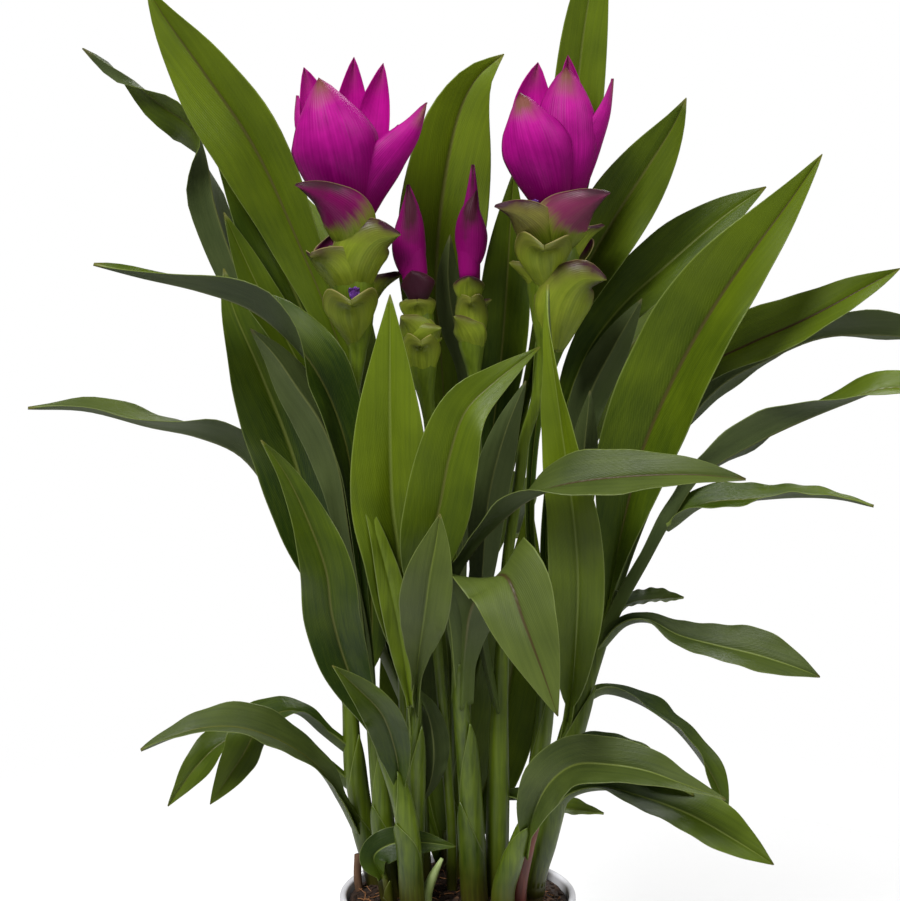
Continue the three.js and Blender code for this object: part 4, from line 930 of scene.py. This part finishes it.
shootBack = {
    "node": "shoot_back",
    "foot": (5, 34),
    "stem": [(5, -212, 34, 5), (5, -170, 34, 5), (4, -124, 33, 4), (3, -98, 33, 1.8)],
    "leaves": [
        dict(rib=[(4, -130, 33, 0), (2, -80, 32, 0), (0, -20, 30, 0), (-4, 40, 29, -5),
                  (-7, 88, 28, -8), (-3, 133, 26, -10), (5, 170, 24, -10), (14, 187, 22, -10),
                  (27, 198, 20, -10)],
             width=48, widest=0.66, petiole=0.3, wave=2.6, tone=0.55, rust=0.6),
        dict(rib=[(4, -130, 32, 180), (6, -60, 24, 180), (8, 10, 20, 180), (9, 40, 16, 180),
                  (2, 64, 12, 180), (-1, 86, 10, 180), (0, 108, 9, 180)],
             width=15, widest=0.72, petiole=0.4, wave=1, tone=0.6),
        dict(rib=[(5, -130, 34, 0), (12, -60, 34, 0), (20, 0, 32, 0), (25, 40, 30, 0), (28, 76, 29, 5),
                  (30, 110, 28, 5), (32, 140, 27, 0)],
             width=27, widest=0.62, petiole=0.34, wave=2, tone=0.1),
        dict(rib=[(5, -130, 34, 0), (18, -60, 38, 0), (34, 10, 38, 0), (46, 66, 36, -5),
                  (56, 120, 32, -5), (62, 165, 28, -8), (67, 210, 24, -8), (73, 245, 20, -8),
                  (79, 270, 16, -5)],
             width=27, widest=0.68, petiole=0.34, wave=2.2, tone=0.5, rust=0.3),
        dict(rib=[(4, -130, 35, 0), (2, -50, 56, 0), (-2, 30, 82, 0), (-8, 92, 108, 0),
                  (-12, 124, 130, 0), (-14, 132, 152, 0)],
             width=40, widest=0.62, petiole=0.3, wave=2.4),
        dict(rib=[(6, -130, 36, 0), (14, -70, 66, 10), (22, -30, 102, 15), (29, -28, 136, 15),
                  (34, -44, 164, 10)],
             width=36, widest=0.6, petiole=0.3, wave=2.4),
    ],
}
growShoot(shootBack)

shootBackLow = {
    "node": "shoot_back_low",
    "foot": (0, 46),
    "stem": [(0, -208, 46, 4.6), (0, -190, 46, 4)],
    "leaves": [
        dict(rib=[(-2, -204, 46, 0), (-12, -176, 53, 0), (-17, -138, 59, 0), (-18, -90, 61, 0),
                  (-18, -48, 60, 0), (-18, -12, 58, 0)],
             width=36, widest=0.45, petiole=0.05, wave=1.4, stalkWidth=14, stalkFold=30),
        dict(rib=[(2, -204, 46, 0), (14, -178, 51, 0), (25, -140, 53, 0), (33, -96, 53, 0),
                  (38, -56, 51, 0), (40, -24, 49, 0)],
             width=36, widest=0.45, petiole=0.05, wave=1.4, phase=1.5, stalkWidth=14, stalkFold=30),
        dict(rib=[(0, -202, 48, 0), (2, -170, 58, 0), (5, -130, 66, 0), (6, -92, 78, 0),
                  (2, -74, 98, 0), (-6, -86, 122, 0)],
             width=38, widest=0.45, petiole=0.05, wave=2, stalkWidth=14, stalkFold=30),
    ],
}
growShoot(shootBackLow)

shootBackRight = {
    "node": "shoot_back_right",
    "foot": (33, 18),
    "stem": [(36, -214, 18, 4.4), (41, -175, 15, 4.4), (46, -136, 12, 4.2), (49, -95, 10, 3.4),
             (52, -76, 8, 1.6)],
    "leaves": [
        dict(rib=[(49, -100, 10, 180), (56, -70, 2, 180), (63, -42, -6, 180), (66, -12, -12, 180),
                  (68, 10, -14, 180), (70, 30, -15, 180)],
             width=15, widest=0.62, petiole=0.25, wave=0.8, tone=0.4),
        dict(rib=[(49, -100, 11, 180), (56, -50, 10, 180), (63, 0, 10, 180), (70, 28, 10, 180),
                  (82, 52, 9, 180), (96, 76, 8, 180)],
             width=20, widest=0.66, petiole=0.3, wave=1, tone=0.35),
        dict(rib=[(49, -100, 12, 10), (48, -40, 20, 10), (55, 10, 25, 12), (67, 46, 27, 15),
                  (84, 70, 27, 18), (110, 94, 25, 20), (138, 118, 22, 20), (158, 132, 20, 10)],
             width=32, widest=0.66, petiole=0.32, wave=2.2, tone=0.15, rust=0.3),
        dict(rib=[(48, -100, 11, 0), (40, -40, 16, 0), (44, 20, 21, 5), (52, 58, 22, 5),
                  (66, 88, 21, 5), (84, 119, 15, 5), (99, 142, 8, 5), (112, 163, 2, 5),
                  (118, 176, -2, 0)],
             width=35, widest=0.66, petiole=0.34, wave=2.2, tone=0.25, rust=0.5),
        dict(rib=[(49, -100, 13, 10), (56, -40, 40, 10), (72, 18, 70, 15), (92, 54, 100, 15),
                  (112, 72, 126, 15), (130, 76, 148, 10)],
             width=36, widest=0.62, petiole=0.3, wave=2.4),
    ],
}
growShoot(shootBackRight)

scapeLeft = {
    "node": "scape_left",
    "foot": (-22, 12),
    "stem": [(-22, -214, 11, 3.6), (-22, -150, 8, 3.4), (-24, -100, 4, 3.1), (-30, -64, 2, 2.9),
             (-38, -34, 0, 2.8), (-46, 0, -6, 2.8), (-48, 28, -12, 2.8), (-46, 50, -12, 4.4),
             (-47, 63, -12, 8.6), (-49, 79, -12, 11.4), (-50, 93, -12, 12), (-50, 102, -12, 10.5)],
    "leaves": [],
    "flowers": [(-48, 80, -25, 2.6)],
    "bracts": [
        dict(rib=[(-46, 49, -14, 180), (-48.5, 63, -24, 180), (-49.5, 72.5, -30, 180),
                  (-49.5, 75.5, -37, 180)],
             width=37, cup=80, widest=0.66, rust=0.5),
        dict(rib=[(-50, 72, -17, -145), (-58, 86, -24, -140), (-65.5, 96, -28, -135),
                  (-69.5, 99.5, -33, -130)],
             width=31, cup=70, widest=0.58, rust=0.8),
        dict(rib=[(-46, 76, -18, 162), (-43, 93, -27, 158), (-36.5, 103.5, -30, 150),
                  (-25.5, 109.5, -29, 140)],
             width=36, cup=74, widest=0.55, rust=1),
        dict(rib=[(-43, 64, -8, 105), (-35, 78, -6, 105), (-26, 90, -4, 100)], width=27, rust=1.1),
        dict(rib=[(-46.5, 98, -22, -178), (-50, 113, -34, -172), (-62, 125, -40, -158),
                  (-76.5, 134, -39, -145)],
             width=27, cup=66, widest=0.4, rust=1.2, tone=1),
        dict(rib=[(-50, 80, -5, 0), (-52, 97, 7, 0), (-54, 111, 14, 0)], width=38, cup=70, tone=1),
        dict(rib=[(-44, 84, -6, 50), (-37, 99, 2, 50), (-31, 112, 5, 45)], width=32, cup=66, tone=1),
    ],
}
growStalk(scapeLeft)

scapeRight = {
    "node": "scape_right",
    "foot": (25, 0),
    "stem": [(24, -218, 2, 6.2), (24, -175, 0, 6), (25, -125, -2, 4.2), (27, -85, -4, 3.2),
             (29, -52, -6, 2.8), (35, -13, -8, 2.8), (37, 4, -8, 2.8), (43, 24, -10, 2.8),
             (48, 50, -12, 4.4), (50, 65, -12, 9), (51, 83, -12, 12.4), (52, 96, -12, 12.8),
             (53, 105, -12, 10.5)],
    "leaves": [
        dict(rib=[(24, -130, -3, 180), (16, -92, -12, 180), (17, -48, -19, 180), (20, -20, -22, 180),
                  (28, 10, -24, 180), (38, 35, -25, 180)],
             width=19, widest=0.6, petiole=0.2, wave=1),
        dict(rib=[(25, -172, 0, 40), (38, -174, 4, 40), (55, -178, 6, 40), (77, -181, 4, 40)],
             width=13, widest=0.5, petiole=0.05, wave=0.6),
    ],
    "flowers": [(64, 91, -25, 4.2), (70, 90, -24, 3.2), (42, 124, -27, 2.2)],
    "bracts": [
        dict(rib=[(49.5, 97, -23, -168), (43, 110, -34, -164), (34, 118, -39, -152), (23, 123.5, -38, -140)],
             width=23, cup=66, widest=0.42, rust=1.1, tone=0.3),
        dict(rib=[(53.5, 98, -23, 174), (56, 111, -34, 168), (66.5, 121, -38, 156), (79, 130, -37, 142)],
             width=30, cup=66, widest=0.38, rust=1, tone=0.9),
        dict(rib=[(50, 76, -20, 180), (47.5, 91, -30, 180), (47, 100, -35, 180), (47.5, 103, -42, 180)],
             width=37, cup=76, widest=0.68, rust=0.5),
        dict(rib=[(61.5, 93, -14, 110), (69, 104.5, -10, 105), (75, 114, -8, 100)], width=19, rust=1.1),
        dict(rib=[(53, 49, -15, 174), (55.5, 65, -26, 170), (61, 78.5, -31, 162), (67.5, 85, -33, 152),
                  (78, 87, -33, 142)],
             width=35, cup=72, widest=0.55, rust=0.9),
        dict(rib=[(53, 84, -5, 0), (54, 102, 9, 0), (56, 115, 16, 0)], width=42, cup=70, tone=1),
        dict(rib=[(49.5, 66, -12, -108), (40.5, 81, -14, -106), (32, 95.5, -13, -100)],
             width=27, cup=62, rust=0.6),
    ],
}
growStalk(scapeRight)

scapeBudLeft = {
    "node": "scape_bud_left",
    "foot": (1, 8),
    "stem": [(1, -218, 8, 2.7), (1, -195, 6, 2.7), (-1, -165, 4, 2.7), (-4, -125, 0, 2.6),
             (-7, -90, -4, 2.6), (-9, -55, -8, 2.6), (-11, -15, -10, 2.6), (-10, 12, -12, 2.8),
             (-12, 28, -12, 4), (-14, 42, -12, 7.5), (-15, 60, -12, 7.6), (-16, 76, -12, 6.6)],
    "leaves": [],
    "bracts": [
        dict(rib=[(-12, 29, -15, 180), (-14, 44, -20, 180), (-14.5, 52, -22, 180), (-14.5, 55, -26, 180)],
             width=30, cup=92, widest=0.68, rust=0.4),
        dict(rib=[(-14.5, 49, -15, -155), (-19.5, 60, -20, -155), (-24, 68, -21, -150)],
             width=23, cup=76, rust=0.6),
        dict(rib=[(-14.5, 49, -16, 150), (-10, 56, -20, 150), (-5.5, 62.5, -20, 145)],
             width=23, cup=76, rust=0.6),
        dict(rib=[(-15.5, 59, -16, 180), (-16, 70, -20, 180), (-16.5, 75.5, -22, 180)],
             width=26, cup=88, widest=0.66, rust=0.5),
        dict(rib=[(-16, 69, -17, -170), (-17, 80, -22.5, -170), (-19, 90, -22, -170)],
             width=25, cup=90, widest=0.66, rust=2.6, tone=1),
    ],
}
growStalk(scapeBudLeft)

scapeBudRight = {
    "node": "scape_bud_right",
    "foot": (13, 17),
    "stem": [(12, -214, 17, 2.6), (10, -175, 14, 2.6), (8, -125, 10, 2.6), (10, -85, 6, 2.6),
             (14, -35, 2, 2.6), (13, 5, -2, 2.8), (12, 38, -4, 3.2), (11, 52, -4, 6.4),
             (10, 66, -4, 6.8), (10, 83, -4, 6.2)],
    "leaves": [],
    "bracts": [
        dict(rib=[(12, 42, -7, 180), (11, 60, -11, 180), (10.5, 73, -13, 180), (10.5, 76.5, -17, 180)],
             width=25, cup=92, widest=0.68, rust=0.5),
        dict(rib=[(11.5, 49, -8, -150), (6.5, 59.5, -12, -150), (3.5, 68, -12, -140)],
             width=20, cup=74, rust=0.7),
        dict(rib=[(12, 59, -6, 125), (15, 68, -5, 125), (18.5, 76.5, -4, 118)], width=17, rust=0.9),
        dict(rib=[(10, 70, -9, 180), (9.5, 80, -13, 180), (9.5, 87.5, -14, 180)],
             width=22, cup=88, widest=0.62, rust=1),
    ],
}
growStalk(scapeBudRight)

bloomLeft = {
    "node": "bloom_left",
    "core": [(-50, 104.5, -12, 8.6), (-51, 118, -12, 10), (-51, 138, -12, 3)],
    "bracts": [
        dict(rib=[(-50, 112, -18, 180), (-53, 130, -28, 180), (-57.5, 152.5, -37, 180), (-62, 171, -34, 180),
                  (-65.5, 186, -25, 180)],
             width=53, cup=72, widest=0.53, fullness=0.72, rust=0.8),
        dict(rib=[(-47, 111, -17, 150), (-39.5, 129, -21, 150), (-28.5, 145, -24, 150), (-18, 160, -22, 150),
                  (-12, 174, -18, 150)],
             width=26, cup=62, widest=0.38, rust=1),
        dict(rib=[(-52.5, 118, -8, -20), (-60, 145, 3, -20), (-67.5, 170, 5, -15), (-73, 191.5, 2, -10)],
             width=26, rust=0.35),
        dict(rib=[(-51, 118, -6, 0), (-49.5, 148, 8, 0), (-49, 176, 9, 0), (-48, 196.5, 4, 0)],
             width=22, rust=0.35),
        dict(rib=[(-47, 118, -8, 25), (-39.5, 148, 0, 25), (-36, 173, 1, 20), (-33.5, 193.5, -4, 10)],
             width=22, rust=0.35),
        dict(rib=[(-56, 115, -11, -90), (-69, 140, -10, -90), (-77, 161, -10, -85), (-75.5, 177.5, -8, -75)],
             width=25, rust=0.5),
        dict(rib=[(-51, 112, -4, -5), (-54, 140, 14, -5), (-57, 162, 21, -5), (-58, 178, 20, -5)],
             width=32, rust=0.8),
        dict(rib=[(-46, 114, -7, 55), (-35, 136, 4, 55), (-28, 150, 8, 55), (-26, 163, 10, 50)],
             width=25, rust=0.8),
    ],
}
growCrown(bloomLeft)

bloomRight = {
    "node": "bloom_right",
    "core": [(53, 107, -12, 9.6), (53, 122, -12, 10), (53, 142, -12, 3)],
    "bracts": [
        dict(rib=[(52.5, 113, -19, 180), (49, 131, -29, 180), (43.5, 150, -36, 180), (38.5, 166, -34, 180),
                  (35, 178.5, -25, 180)],
             width=41, cup=70, widest=0.57, fullness=0.7, rust=1.5),
        dict(rib=[(55.5, 115, -16, 172), (59, 139, -23, 176), (58, 165, -22, 180), (58, 191.5, -12, 180)],
             width=36, cup=66, widest=0.62, fullness=0.7, rust=1),
        dict(rib=[(60.5, 117, -13, 122), (68, 136, -15, 120), (74.5, 152.5, -13, 118), (79.5, 169, -10, 112),
                  (80.5, 186, -8, 108)],
             width=25, widest=0.36, rust=0.8),
        dict(rib=[(51, 120, -7, -15), (43, 150, 4, -15), (41, 175, 7, -10), (44, 194, 4, -5)],
             width=30, rust=0.5),
        dict(rib=[(54, 120, -6, 0), (58, 152, 8, 0), (60, 177.5, 9, 0),
                  (59, 197.5, 4, 0)], width=21, rust=0.6),
        dict(rib=[(48, 116, -11, -85), (38, 139, -9, -85), (32.5, 158, -7, -80), (31.5, 167, -5, -70)],
             width=24, rust=0.6),
        dict(rib=[(52, 114, -4, 0), (52, 142, 15, 0), (50, 164, 20, 0),
                  (49, 180, 19, 0)], width=32, rust=0.8),
        dict(rib=[(58, 116, -6, 55), (68, 139, 5, 55), (72, 157, 11, 50), (73, 168, 13, 45)],
             width=27, rust=0.8),
    ],
}
growCrown(bloomRight)

budLeft = {
    "node": "bud_left",
    "core": [(-17, 79, -12, 5.4), (-18, 91, -12, 6.6), (-19, 105, -12, 6), (-19, 119, -12, 4.4),
             (-21, 133, -11, 0.8)],
    "bracts": [
        dict(rib=[(-18, 86, -16, 168), (-19, 104, -19, 168), (-19.5, 119, -17, 174), (-21, 132, -12, 180)],
             width=21, cup=88, widest=0.42, rust=1.6),
    ],
}
growCrown(budLeft)

budRight = {
    "node": "bud_right",
    "core": [(10, 84.5, -5, 5), (9.5, 99, -5, 5.8), (10, 112, -5, 5.6), (11, 127, -5, 3.2),
             (11.5, 143, -4, 0.8)],
    "bracts": [
        dict(rib=[(9.5, 91, -9, -168), (9, 106, -12, -168), (10, 119, -11, -174), (13, 130, -6, 180)],
             width=21, cup=90, widest=0.45, rust=2),
    ],
}
growCrown(budRight)

# Pot: a plain glazed grower's pot with a rolled lip
potForm = {
    "height": 112,
    "rimRadius": 61,
    "footRadius": 45,
    "lip": 3.6,
    "wall": 3.4,
    "floor": 6,
    "lipRound": 1.5,
    "corners": 120,
}


def turned(name, node, slotName, finish, profile, corners):
    # a closed form turned round the pot's axis, from (radius, height) pairs
    angle = 2 * np.pi * np.arange(corners) / corners
    mesh = bpy.data.meshes.new(name)
    points, faces, rows = [], [], []
    for radius, height in profile:
        if radius == 0:
            rows.append([len(points)])
            points.append((0, 0, height / 1000))
        else:
            rows.append(list(range(len(points), len(points) + corners)))
            points += [(radius * math.cos(a) / 1000, radius * math.sin(a) / 1000, height / 1000)
                       for a in angle]
    for low, high in zip(rows, rows[1:]):
        for k in range(corners):
            a, b = low[k % len(low)], low[(k + 1) % len(low)]
            c, d = high[(k + 1) % len(high)], high[k % len(high)]
            faces.append([v for v in dict.fromkeys((a, b, c, d))])
    mesh.from_pydata(points, [], faces)
    mesh.materials.append(finish)
    mesh.polygons.foreach_set("use_smooth", np.ones(len(faces), bool))
    mesh.update()
    made = bpy.data.objects.new(name, mesh)
    bpy.context.scene.collection.objects.link(made)
    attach(made, "root")
    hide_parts(node)
    return made


def potFinish():
    finish, wire = startFinish("potGlaze")
    spot = wire.node("ShaderNodeTexCoord", {}, {}, "Object")
    cloud = spot.grain(22.0, 2.0)
    fine = spot.grain(900.0, 2.0)
    tone = (cloud * 1.4 - 0.2).between((0.78, 0.775, 0.82), (0.86, 0.855, 0.89))
    specks = fine.rise(0.70, 0.78) * 0.25
    tone = specks.between(tone, (0.55, 0.54, 0.56))
    endFinish(wire, tone, 0.22 + (cloud - 0.5) * 0.12, cloud * 0.6 + fine * 0.05, 0.0006, 0.25,
              Coat_Weight=0.35, Coat_Roughness=0.08)
    return finish


def makePot(form):
    lip, round_ = form["lip"], form["lipRound"]
    outer, top = form["rimRadius"], form["height"]
    inner = outer - lip
    profile = [(0, 0.0), (form["footRadius"] - 8, 0.0), (form["footRadius"] - 2, 0.0)]
    profile += [(form["footRadius"] - 2 + 2 * math.sin(a), 2 - 2 * math.cos(a)) for a in (0.4, 0.8, 1.2, 1.5)]
    profile += [(outer - 2.5 - 14 * (1 - k), top - 12 - (top - 14) * (1 - k)) for k in (0.3, 0.6, 0.9, 1.0)]
    profile += [(outer - 0.6, top - 11.2), (outer - 0.1, top - 10.4), (outer, top - 9.6), (outer, top - 5)]
    for k in range(9):
        a = math.pi * k / 8
        profile.append((outer - lip / 2 + (lip / 2) * math.cos(a), top - round_ + round_ * math.sin(a)))
    profile += [(inner, top - 5), (inner - 0.3, top - 9), (inner - 0.6, top - 12)]
    profile += [(form["footRadius"] - form["wall"], form["floor"] + 2),
                (form["footRadius"] - form["wall"] - 3, form["floor"]), (0, form["floor"])]
    pot = turned("pot_glazed", "pot", "pot", potFinish(), profile, form["corners"])
    print("made", pot.name)
    return pot


makePot(potForm)

# Soil: peat with crumbs and fibres
soilForm = {
    "radius": 56.4,
    "level": 108.6,
    "crown": 0.6,
    "roughness": 1.5,
    "crumbs": 1500,
    "crumbSize": (0.7, 2.6),
    "fibres": 150,
    "fibreLength": (6, 20),
    "fibreBend": 1.6,            # either way, radians along its length
    "fibreRadius": (0.14, 0.34),
    "chips": 90,
}
peat = plainFinish("peat", (0.006, 0.003, 0.002), (0.036, 0.018, 0.010), 420.0, 0.92, 0.0008)
crumb = plainFinish("peatCrumb", (0.009, 0.005, 0.003), (0.060, 0.027, 0.012), 600.0, 0.9, 0.0006)
chip = plainFinish("barkChip", (0.060, 0.026, 0.012), (0.21, 0.10, 0.045), 500.0, 0.8, 0.0005, (1, 1, 0.3))
fibre = plainFinish("rootFibre", (0.16, 0.060, 0.020), (0.42, 0.19, 0.065), 800.0, 0.75)


def soilHeight(x, y):
    reach = math.hypot(x, y) / soilForm["radius"]
    bumps = noise.noise(Vector((x * 0.16, y * 0.16, 0))) + 0.6 * noise.noise(Vector((x * 0.45, y * 0.45, 4)))
    sink = max(0.0, reach - 0.85) * 7
    bumps *= soilForm["roughness"] * (1 - 0.6 * reach ** 6)
    return soilForm["level"] + soilForm["crown"] * (1 - reach ** 2) - sink + bumps


def makeSoil(form):
    points, faces, looks = [], [], []
    rings, corners = 34, 110
    rows = [[0]]
    points.append((0, 0, soilHeight(0, 0)))
    for ring in range(1, rings + 1):
        reach = form["radius"] * ring / rings
        row = []
        for k in range(corners):
            a = 2 * math.pi * k / corners
            x, y = reach * math.cos(a), reach * math.sin(a)
            row.append(len(points))
            points.append((x, y, soilHeight(x, y)))
        rows.append(row)
    for radius, height in ((56.3, 102), (56.2, 99.6), (41.2, 8.6), (38.2, 6.5)):
        row = []
        for k in range(corners):
            a = 2 * math.pi * k / corners
            row.append(len(points))
            points.append((radius * math.cos(a), radius * math.sin(a), height))
        rows.append(row)
    rows.append([len(points)])
    points.append((0, 0, 6.5))
    for low, high in zip(rows, rows[1:]):
        for k in range(corners):
            a, b = low[k % len(low)], low[(k + 1) % len(low)]
            c, d = high[(k + 1) % len(high)], high[k % len(high)]
            faces.append(list(dict.fromkeys((a, d, c, b))))
            looks.append(0)
    ball = [(0, 0, 1), (0.9, 0, 0.42), (0.28, 0.85, 0.44), (-0.73, 0.52, 0.46), (-0.7, -0.55, 0.43),
            (0.3, -0.85, 0.41), (0.7, 0.5, -0.45), (-0.28, 0.86, -0.43), (-0.9, 0, -0.45),
            (-0.27, -0.84, -0.46), (0.72, -0.5, -0.42), (0, 0, -1)]
    shell = [(0, 1, 2), (0, 2, 3), (0, 3, 4), (0, 4, 5), (0, 5, 1), (1, 6, 2), (2, 7, 3), (3, 8, 4),
             (4, 9, 5), (5, 10, 1), (6, 7, 2), (7, 8, 3), (8, 9, 4), (9, 10, 5), (10, 6, 1), (11, 7, 6),
             (11, 8, 7),
             (11, 9, 8), (11, 10, 9), (11, 6, 10)]
    draw = random.Random(5)
    for index in range(form["crumbs"] + form["chips"]):
        isChip = index >= form["crumbs"]
        reach = form["radius"] * 0.97 * math.sqrt(draw.random())
        a = 2 * math.pi * draw.random()
        x, y = reach * math.cos(a), reach * math.sin(a)
        size = draw.uniform(*form["crumbSize"]) * draw.uniform(0.4, 1.0)
        wide, deep, tall = (2.6 * size, 0.9 * size, 0.45 * size) if isChip else (size, size * 0.9, size * 0.7)
        yaw, tilt = draw.uniform(0, 6.28), draw.uniform(-0.6, 0.6)
        base = len(points)
        height = soilHeight(x, y) + tall * 0.3
        for px, py, pz in ball:
            wobble = draw.uniform(0.72, 1.2)
            lx, ly, lz = px * wide * wobble, py * deep * wobble, pz * tall * wobble
            lx, lz = lx * math.cos(tilt) - lz * math.sin(tilt), lx * math.sin(tilt) + lz * math.cos(tilt)
            points.append((x + lx * math.cos(yaw) - ly * math.sin(yaw),
                           y + lx * math.sin(yaw) + ly * math.cos(yaw), height + lz))
        faces += [[base + v for v in tri] for tri in shell]
        looks += [2 if isChip else 1] * len(shell)
    for index in range(form["fibres"]):
        reach = form["radius"] * 0.9 * math.sqrt(draw.random())
        a, yaw = 2 * math.pi * draw.random(), 2 * math.pi * draw.random()
        x, y = reach * math.cos(a), reach * math.sin(a)
        length = draw.uniform(*form["fibreLength"])
        bend = draw.uniform(-form["fibreBend"], form["fibreBend"])
        thick = draw.uniform(*form["fibreRadius"])
        base, steps = len(points), 7
        for step in range(steps + 1):
            t = step / steps
            heading = yaw + bend * t
            hump = 1.4 * math.sin(math.pi * t) * draw.uniform(0.5, 1.0)
            here = math.hypot(x, y)
            if here > form["radius"] * 0.95:
                x, y = x * 0.95, y * 0.95
            z = soilHeight(x, y) + 0.3 + hump
            for k in range(4):
                c = math.pi * k / 2
                points.append((x - math.sin(heading) * thick * math.cos(c),
                               y + math.cos(heading) * thick * math.cos(c), z + thick * math.sin(c)))
            x += math.cos(heading) * length / steps
            y += math.sin(heading) * length / steps
        for step in range(steps):
            for k in range(4):
                a0, b0 = base + step * 4 + k, base + step * 4 + (k + 1) % 4
                faces.append([a0, b0, b0 + 4, a0 + 4])
                looks.append(3)
        faces += [[base + 3, base + 2, base + 1, base], [base + steps * 4 + k for k in range(4)]]
        looks += [3, 3]
    mesh = bpy.data.meshes.new("soil_peat")
    mesh.from_pydata([(x / 1000, y / 1000, z / 1000) for x, y, z in points], [], faces)
    for finish in (peat, crumb, chip, fibre):
        mesh.materials.append(finish)
    mesh.polygons.foreach_set("material_index", np.array(looks, np.int32))
    mesh.update()
    made = bpy.data.objects.new("soil_peat", mesh)
    bpy.context.scene.collection.objects.link(made)
    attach(made, "root")
    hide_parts("soil")
    print("made", made.name, len(faces), "faces")
    return made


makeSoil(soilForm)

# Small things at the soil
sproutSkin = plainFinish("sproutSkin", (0.20, 0.28, 0.07), (0.42, 0.50, 0.22), 300.0, 0.45, 0.0003,
                         (1, 1, 0.1))
drySkin = plainFinish("drySkin", (0.050, 0.022, 0.010), (0.19, 0.10, 0.05), 380.0, 0.8, 0.0006, (1, 1, 0.15))
redSkin = plainFinish("redSkin", (0.055, 0.010, 0.008), (0.20, 0.045, 0.022), 260.0, 0.5, 0.0004,
                      (1, 1, 0.08))
sprout = {
    "node": "sprout",
    "foot": (-9, -17),
    "stem": [(-12, -224, -16, 3), (-9, -214, -17, 2.6), (-4, -204, -18, 0.9)],
}
dryStub = {
    "node": "dry_stub",
    "foot": (-45, 14),
    "stem": [(-46, -216, 13, 2.1), (-46, -202, 12, 1.9)],
}
redSheath = {
    "node": "sheath_red",
    "foot": (33, -19),
    "stem": [(34.5, -222, -24, 3.8), (38, -202, -26, 3.6), (42.5, -187, -28, 2.6), (46, -175, -30, 0.9)],
}
for plan, slotName, skin in ((sprout, "sprout", sproutSkin), (dryStub, "stub", drySkin),
                             (redSheath, "sheath", redSkin)):
    piece = Piece(plan["node"].replace("_", "") + "Spike", plan["node"], slotName, [skin])
    addStem(piece, plan, 0)
    piece.make()

# Floor, light and camera
studio = {
    "floor": 0.70,       # radius of the pale floor, which fades into the backdrop
    "floorFade": 0.18,
    "floorTone": (0.90, 0.90, 0.90),
    "sky": 0.26,         # how much the sky lights the plant
    "floorGlow": 0.20,
    "key": 46,
    "fill": 15,
    "rim": 16,
}
floorMesh = bpy.data.meshes.new("floor")
rim = [(studio["floor"] * math.cos(a), studio["floor"] * math.sin(a), 0)
       for a in np.linspace(0, 2 * math.pi, 97)[:-1]]
floorMesh.from_pydata(rim, [], [list(range(len(rim)))])
floor = bpy.data.objects.new("floor", floorMesh)
bpy.context.scene.collection.objects.link(floor)
floorFinish, wire = startFinish("floorPaper")
spot = wire.node("ShaderNodeTexCoord", {}, {}, "Object")
away = (spot.part(0) * spot.part(0) + spot.part(1) * spot.part(1)) ** 0.5
endFinish(wire, spot.grain(6.0, 1.0).between((0.84, 0.84, 0.84), studio["floorTone"]), 0.8,
          Alpha=1 - away.rise(studio["floorFade"], studio["floor"] * 0.95),
          Emission_Color=(1, 1, 1, 1), Emission_Strength=studio["floorGlow"])
floorMesh.materials.append(floorFinish)

world = bpy.data.worlds.new("studioSky")
bpy.context.scene.world = world
world.use_nodes = True
world.node_tree.nodes.clear()
wire = Wire(world.node_tree)
seen = wire.node("ShaderNodeLightPath", {}, {}, "Is Camera Ray")
sky = wire.node("ShaderNodeBackground", {}, {"Color": (1, 1, 1, 1),
                                             "Strength": studio["sky"] + seen * (1 - studio["sky"])})
wire.node("ShaderNodeOutputWorld", {}, {0: sky})


def softLight(name, power, size, spotAt, target=(0, 0, 0.34)):
    data = bpy.data.lights.new(name, "AREA")
    data.energy, data.shape, data.size = power, "DISK", size
    lamp = bpy.data.objects.new(name, data)
    lamp.location = spotAt
    lamp.rotation_euler = (Vector(target) - Vector(spotAt)).to_track_quat("-Z", "Y").to_euler()
    bpy.context.scene.collection.objects.link(lamp)


softLight("keyLight", studio["key"], 0.8, (-0.8, -1.2, 1.8))
softLight("fillLight", studio["fill"], 0.9, (1.3, -0.8, 1.4))
softLight("rimLight", studio["rim"], 0.9, (0.5, 1.3, 1.6))

lens = bpy.data.cameras.new("photoView")
lens.lens, lens.sensor_width = camera["lens"], camera["sensor"]
lens.clip_start, lens.clip_end = 0.05, 20
photoView = bpy.data.objects.new("photoView", lens)
photoView.location = eye / 1000
photoView.rotation_euler = Vector((aim - eye) / 1000).to_track_quat("-Z", "Y").to_euler()
bpy.context.scene.collection.objects.link(photoView)
bpy.context.scene.camera = photoView
bpy.context.scene.view_settings.view_transform = "Standard"
